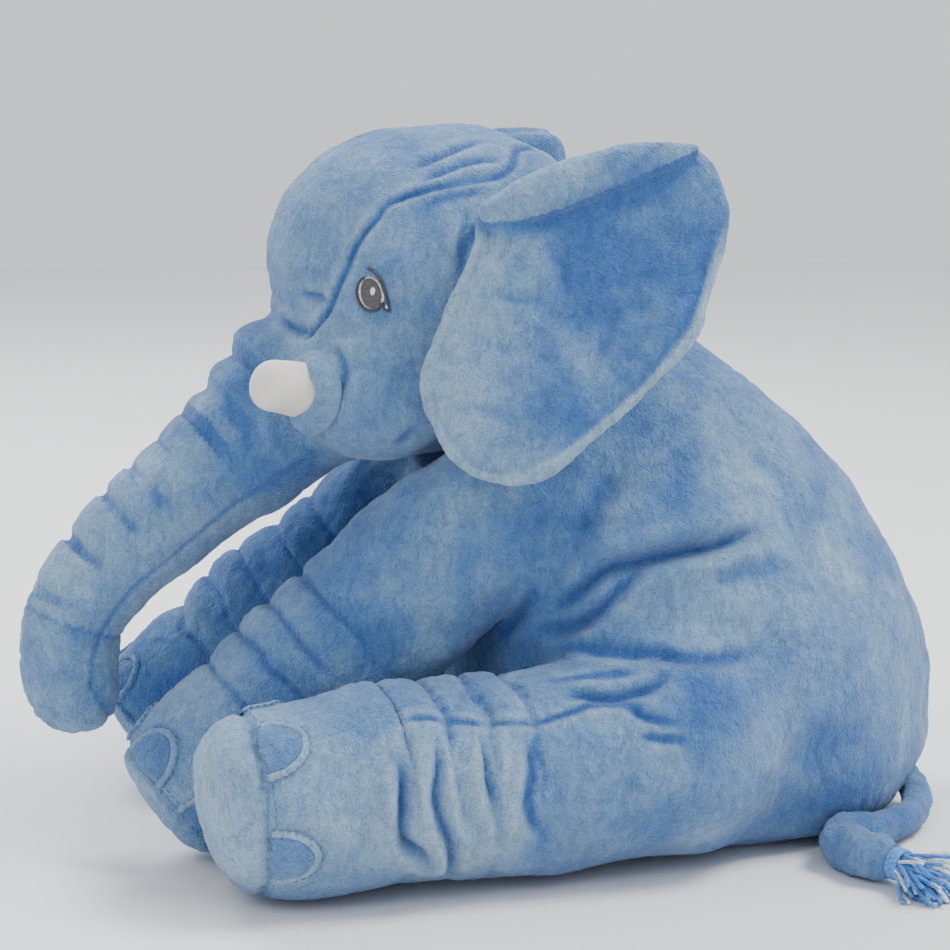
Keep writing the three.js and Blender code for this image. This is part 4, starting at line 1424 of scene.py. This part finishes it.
def tusk_field(x, y, z):
    """Distance to a blunt, slightly uneven tusk."""
    axis = unit(TUSK_TIP - TUSK_BASE)
    start = TUSK_BASE - axis * 20
    length = np.linalg.norm(TUSK_TIP - TUSK_BASE) + 20
    px, py, pz = x - start[0], y - start[1], z - start[2]
    s = px * axis[0] + py * axis[1] + pz * axis[2]
    t = np.clip(s / (length - 14), 0, 1) * (length - 14)
    qx, qy, qz = px - t * axis[0], py - t * axis[1], pz - t * axis[2]
    radius = 17.5 - 3.0 * ramp(t, 18, length - 14)
    lump = 0.9 * np.sin(x / 6.0 + 1.0) * np.sin(y / 7.5) + 0.6 * np.sin(z / 5.0 + x / 9.0)
    return np.sqrt(qx ** 2 + qy ** 2 + qz ** 2) - radius + lump


class ELEPHANT_OT_tusks(bpy.types.Operator):
    """Two stuffed felt tusks, each in a rolled pocket"""

    bl_idname = "elephant.tusks"
    bl_label = "Tusks"

    def execute(self, context):
        low = np.minimum(TUSK_BASE, TUSK_TIP) - 32
        high = np.maximum(TUSK_BASE, TUSK_TIP) + 32
        points, quads = march(tusk_field, low, high, TUSK_STEP)
        points = relaxed(points, quads, 2)
        axis = unit(TUSK_TIP - TUSK_BASE)
        side = unit(np.cross(axis, (0, 0, 1)))
        over = np.cross(side, axis)
        for name, sign in (("left", 1), ("right", -1)):
            flip = np.array([sign, 1, 1.0])
            droop = np.zeros(3) if sign > 0 else FAR_TUSK_DROOP
            world = look_left(points * flip + droop)
            faces = faced_out(world, quads)
            tusk = skin_piece(f"tusk_{name}", world, faces, normals_of(world, faces), np.zeros(len(world)),
                              np.ones(len(faces), bool), material("felt"))
            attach(tusk, "head")
            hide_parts(f"tusk_{name}_felt", f"tusk_{name}_stuffing")
            ring = []
            for j in range(61):
                a = 2 * math.pi * j / 60
                reach = 19.0 + 1.2 * math.sin(2 * a + 0.6) + 0.7 * math.sin(5 * a)
                along = 10.0 + 1.8 * math.sin(a * 3 + 1)
                ring.append(TUSK_BASE + axis * along + reach * (math.cos(a) * side + math.sin(a) * over))
            ring = look_left(np.array(ring) * flip + droop)
            tube, tube_faces = ring_tube(ring[:-1], 6.4, 14, look_left(TUSK_BASE * flip + droop))
            pocket = simple_mesh(f"tusk_{name}_pocket_roll", tube, tube_faces, material("plush"), 0.2)
            face_out(pocket)
            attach(pocket, "head")
            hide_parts(f"tusk_{name}_pocket")
        return {"FINISHED"}


def ring_tube(loop, radius, sides, centre):
    """Points and faces of a closed tube round a loop."""
    loop = np.asarray(loop, float)
    tangents = np.roll(loop, -1, axis=0) - np.roll(loop, 1, axis=0)
    tangents /= np.linalg.norm(tangents, axis=1)[:, None]
    points = []
    for spot, tangent in zip(loop, tangents):
        outward = spot - centre
        outward = unit(outward - (outward @ tangent) * tangent)
        over = np.cross(tangent, outward)
        for j in range(sides):
            a = 2 * math.pi * j / sides
            points.append(spot + radius * (math.cos(a) * outward + 1.25 * math.sin(a) * over))
    return np.array(points), grid_faces(len(loop), sides, closed_rows=True)


def on_head(spot, gaze, lift):
    """The spot carried along the gaze onto the head's finished skin."""
    origin = look_left(np.asarray(spot, float) + gaze * 40)
    way = look_left(NECK + gaze) - look_left(NECK)
    hit = SKINS["head_tree"].ray_cast(Vector(to_row(origin)), Vector(-way))
    if hit[0] is None:
        raise RuntimeError("no skin behind an eye")
    return np.array(hit[0]) / MM - SHIFT + way * lift


class ELEPHANT_OT_eyes(bpy.types.Operator):
    """Two embroidered eyes"""

    bl_idname = "elephant.eyes"
    bl_label = "Eyes"

    def execute(self, context):
        gaze = unit(EYE_GAZE)
        for name, sign in (("left", 1), ("right", -1)):
            look = gaze * (sign, 1, 1)
            across = unit(np.cross((0, 0, 1), look)) * sign
            up = unit((0, 0, 1) - look * look[2])
            centre = EYE_CENTRE * (sign, 1, 1)

            def spot(a, b, lift):
                return on_head(centre + (across * a + up * b) * EYE_SCALE, look, lift)

            def disc(ca, cb, ra, rb, lift, dome, tilt=0.0, count=28, rings=5):
                points = [spot(ca, cb, lift + dome)]
                faces = []
                for i in range(1, rings + 1):
                    share = i / rings
                    for j in range(count):
                        t = 2 * math.pi * j / count
                        a, b = ra * share * math.cos(t), rb * share * math.sin(t)
                        a, b = (a * math.cos(tilt) - b * math.sin(tilt),
                                a * math.sin(tilt) + b * math.cos(tilt))
                        points.append(spot(ca + a, cb + b, lift + dome * (1 - share ** 2)))
                for j in range(count):
                    faces.append((0, 1 + j, 1 + (j + 1) % count))
                for i in range(rings - 1):
                    for j in range(count):
                        p, q = 1 + i * count, 1 + (i + 1) * count
                        k = (j + 1) % count
                        faces.append((p + j, q + j, q + k, p + k))
                return np.array(points), faces

            def line(stops, radius, lift):
                path = [spot(a, b, lift) for a, b in smooth_line(stops, 36)]
                taper = radius * (0.35 + 0.65 * np.sin(np.linspace(0.25, math.pi - 0.12, 36)) ** 0.6)
                return swept_tube(path, taper, 6, up=look_left(NECK + look) - look_left(NECK))

            outline = [(9.6 * math.cos(t), 11.8 * math.sin(t))
                       for t in np.linspace(0.62 * math.pi, 1.83 * math.pi, 14)]
            parts = [
                (disc(0, 0, 9.6, 11.8, 0.15, 0.5), "white thread"),
                (disc(0.6, 0.4, 7.6, 10.6, 0.55, 0.5), "iris thread"),
                (disc(2.6, 2.0, 1.7, 2.9, 1.15, 0.3, tilt=-0.25, count=16, rings=3), "white thread"),
                (disc(11.6, -8.6, 1.7, 1.5, 0.5, 0.2, tilt=0.7, count=12, rings=2), "white thread"),
                (line([(-3.4, 11.6)] + outline + [(9.2, -10.2), (13.8, -12.2)], 1.1, 0.8), "dark thread"),
                (line([(-1, 17.5), (4.5, 15.2), (9.2, 8.5), (11.0, 0.5), (12.3, -7.0), (13.8, -11.8)],
                      1.25, 0.9), "dark thread"),
            ]
            pieces = [simple_mesh(f"eye_{name}_part_{i}", points, faces, material(finish))
                      for i, ((points, faces), finish) in enumerate(parts)]
            piece = joined(pieces, f"eye_{name}_stitching")
            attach(piece, "head")
            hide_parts(f"eye_{name}_embroidery")
        return {"FINISHED"}


def joined(pieces, name):
    """Several meshes as one piece, each keeping its material."""
    with bpy.context.temp_override(active_object=pieces[0], object=pieces[0],
                                   selected_editable_objects=pieces, selected_objects=pieces):
        bpy.ops.object.join()
    pieces[0].name = name
    pieces[0].data.name = name
    return pieces[0]


# ------------------------------------------------------------------ tail


class ELEPHANT_OT_tail(bpy.types.Operator):
    """Stuffed tail that lies on the surface and curves round the rump"""

    bl_idname = "elephant.tail"
    bl_label = "Tail"

    def execute(self, context):
        route = smooth_line(np.array(TAIL_ROUTE, float) + TAIL_ROOT, 90)
        t = np.linspace(0, 1, 90)
        radii = 9.0 + 4.6 * ramp(t, 0.25, 0.75) - 3.0 * ramp(t, 0.9, 1.0)
        points, faces = swept_tube(route, radii, 28)
        wobble = 0.6 * cloud(points, 22, 61) + 0.35 * cloud(points, 9, 62)
        nearest = route[np.argmin(np.linalg.norm(points[:, None] - route[None, ::3], axis=2), axis=1) * 3]
        outward = points - nearest
        outward /= np.maximum(np.linalg.norm(outward, axis=1), 1e-6)[:, None]
        points = points + outward * wobble[:, None]
        points[:, 2] = np.maximum(points[:, 2], FLOOR_GAP)
        piece = simple_mesh("tail_plush", points, faces, material("plush"))
        face_out(piece)
        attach(piece, "tail")
        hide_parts("tail_cover", "tail_stuffing")
        SKINS["tail_end"] = (route[-1], unit(route[-1] - route[-4]))
        return {"FINISHED"}


class ELEPHANT_OT_tassel(bpy.types.Operator):
    """Yarn tassel at the end of the tail"""

    bl_idname = "elephant.tassel"
    bl_label = "Tassel"

    def execute(self, context):
        end, tangent = SKINS["tail_end"]
        draw = np.random.default_rng(7)
        groups = {"yarn": [], "yarn_white": []}
        for i in range(TASSEL_STRANDS):
            finish = "yarn_white" if i % 3 == 0 else "yarn"
            way = unit(unit(tangent * (1, 1, 0)) + draw.normal(0, 0.3, 3) * (1, 1, 0.7))
            start = end + draw.normal(0, 3.0, 3)
            length = draw.uniform(*TASSEL_LENGTH)
            path = []
            sag = draw.uniform(4, 12)
            for s in np.linspace(0, 1, 12):
                curl = np.array([math.sin(5 * s + i), math.cos(4 * s + 2 * i), 0.4 * math.sin(6 * s + i)])
                q = start + way * length * s + np.array([0, 0, -sag * s * s]) + 1.6 * curl * s
                q[2] = max(q[2], 1.6)
                path.append(q)
            groups[finish].append(swept_tube(path, 1.15, 6))
        knot = []
        for j in range(4):
            loop = []
            for u in np.linspace(0, 2 * math.pi, 24, endpoint=False):
                loop.append(end + 2.5 * tangent * j - 2 * tangent
                            + 8.2 * (math.cos(u) * np.array([tangent[1], -tangent[0], 0])
                                     + math.sin(u) * np.array([0, 0, 1.0])))
            knot.append(ring_tube(loop, 1.5, 8, np.mean(loop, axis=0)))
        groups["yarn"] += knot
        pieces = []
        for finish, tubes in groups.items():
            points, faces, offset = [], [], 0
            for tube, tube_faces in tubes:
                points.append(tube)
                faces += [tuple(i + offset for i in f) for f in tube_faces]
                offset += len(tube)
            pieces.append(simple_mesh(f"tassel_{finish}", np.vstack(points), faces, material(finish)))
        piece = joined(pieces, "tail_tassel_yarn")
        face_out(piece)
        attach(piece, "tail")
        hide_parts("tail_tassel")
        return {"FINISHED"}


# ------------------------------------------------------------------ stage


# Lights: name, place in metres, size, watts and tint.
LIGHTS = [
    ("window", (0.3, 1.5, 2.3), 1.2, 66.0, (1.0, 0.99, 0.97)),
    ("front", (2.0, -1.2, 2.0), 1.0, 16.0, (0.97, 0.98, 1.0)),
    ("far side", (-1.5, -1.0, 2.1), 1.2, 62.0, (0.95, 0.98, 1.0)),
]


class ELEPHANT_OT_stage(bpy.types.Operator):
    """Pale floor, soft lights and the camera"""

    bl_idname = "elephant.stage"
    bl_label = "Stage"

    def execute(self, context):
        scene = context.scene
        mesh = bpy.data.meshes.new("floor")
        mesh.from_pydata([(-4, -4, 0), (4, -4, 0), (4, 4, 0), (-4, 4, 0)], [], [(0, 1, 2, 3)])
        mesh.materials.append(material("floor"))
        floor = placed("floor", mesh)
        world = bpy.data.worlds.new("studio")
        world.use_nodes = True
        background = world.node_tree.nodes["Background"]
        background.inputs["Color"].default_value = (0.96, 0.98, 1.0, 1)
        background.inputs["Strength"].default_value = 0.95
        scene.world = world
        for name, place, size, power, tint in LIGHTS:
            data = bpy.data.lights.new(name, "AREA")
            data.shape, data.size, data.energy, data.color = "DISK", size, power, tint
            lamp = placed(name, data)
            lamp.location = place
            lamp.rotation_euler = (Vector((0, 0, 0.2)) - Vector(place)).to_track_quat("-Z", "Y").to_euler()
        view = scene.elephant_camera
        azimuth, elevation = view.azimuth, view.elevation
        back = Vector((math.sin(azimuth) * math.cos(elevation),
                       -math.cos(azimuth) * math.cos(elevation), math.sin(elevation)))
        data = bpy.data.cameras.new("camera")
        data.lens, data.sensor_width = view.lens, 36.0
        camera = placed("camera", data)
        target = Vector(to_row((0, 0, 211)))
        camera.location = target + back * view.distance
        camera.rotation_euler = back.to_track_quat("Z", "Y").to_euler()
        scene.camera = camera
        return {"FINISHED"}


# ------------------------------------------------------------------ settings


class ElephantColours(bpy.types.PropertyGroup):
    """Colours of the toy's cloth and yarn"""

    plush: bpy.props.FloatVectorProperty(
        name="Plush", description="Middle tone of the blue plush", subtype="COLOR", size=3,
        min=0, max=1, default=(0.13, 0.262, 0.49))
    plush_deep: bpy.props.FloatVectorProperty(
        name="Deep plush", description="Toe patches", subtype="COLOR", size=3,
        min=0, max=1, default=(0.085, 0.19, 0.4))
    felt: bpy.props.FloatVectorProperty(
        name="Felt", description="Tusks", subtype="COLOR", size=3,
        min=0, max=1, default=(0.8, 0.77, 0.71))
    yarn: bpy.props.FloatVectorProperty(
        name="Yarn", description="Tassel", subtype="COLOR", size=3,
        min=0, max=1, default=(0.08, 0.3, 0.75))


class ElephantCamera(bpy.types.PropertyGroup):
    """Where the camera stands"""

    azimuth: bpy.props.FloatProperty(
        name="Azimuth", description="Turn of the camera round the toy", subtype="ANGLE",
        unit="ROTATION", default=math.radians(84.0))
    elevation: bpy.props.FloatProperty(
        name="Elevation", description="Height of the camera as an angle", subtype="ANGLE",
        unit="ROTATION", default=math.radians(9.5))
    distance: bpy.props.FloatProperty(
        name="Distance", description="From the toy's middle", unit="LENGTH", default=1.6)
    lens: bpy.props.FloatProperty(
        name="Lens", description="Focal length in millimetres", default=98.0)


class ELEPHANT_PT_panel(bpy.types.Panel):
    """The toy's settings and the steps that build it"""

    bl_idname = "ELEPHANT_PT_panel"
    bl_label = "Stuffed elephant"
    bl_space_type = "VIEW_3D"
    bl_region_type = "UI"
    bl_category = "Elephant"

    def draw(self, context):
        layout = self.layout
        for group in (context.scene.elephant_colours, context.scene.elephant_camera):
            column = layout.column()
            for name in group.bl_rna.properties.keys():
                if name not in ("rna_type", "name"):
                    column.prop(group, name)
        for step in STEPS:
            layout.operator(step.bl_idname)


STEPS = (
    ELEPHANT_OT_stage, ELEPHANT_OT_body, ELEPHANT_OT_toes, ELEPHANT_OT_stitches, ELEPHANT_OT_neck,
    ELEPHANT_OT_head, ELEPHANT_OT_ears, ELEPHANT_OT_tusks, ELEPHANT_OT_eyes, ELEPHANT_OT_tail,
    ELEPHANT_OT_tassel,
)
CLASSES = (ElephantColours, ElephantCamera, *STEPS, ELEPHANT_PT_panel)


def register():
    """Adds the classes and the scene's settings."""
    for item in CLASSES:
        bpy.utils.register_class(item)
    bpy.types.Scene.elephant_colours = bpy.props.PointerProperty(type=ElephantColours)
    bpy.types.Scene.elephant_camera = bpy.props.PointerProperty(type=ElephantCamera)


def unregister():
    """Takes the classes and the settings away again."""
    del bpy.types.Scene.elephant_colours
    del bpy.types.Scene.elephant_camera
    for item in reversed(CLASSES):
        bpy.utils.unregister_class(item)


def main():
    """Builds the toy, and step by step."""
    register()
    bpy.ops.elephant.stage()
    bpy.ops.elephant.body()
    bpy.ops.elephant.toes()
    bpy.ops.elephant.stitches()
    bpy.ops.elephant.neck()
    bpy.ops.elephant.head()
    bpy.ops.elephant.ears()
    bpy.ops.elephant.tusks()
    bpy.ops.elephant.eyes()
    bpy.ops.elephant.tail()
    bpy.ops.elephant.tassel()
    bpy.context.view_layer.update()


if __name__ == "__main__":
    main()
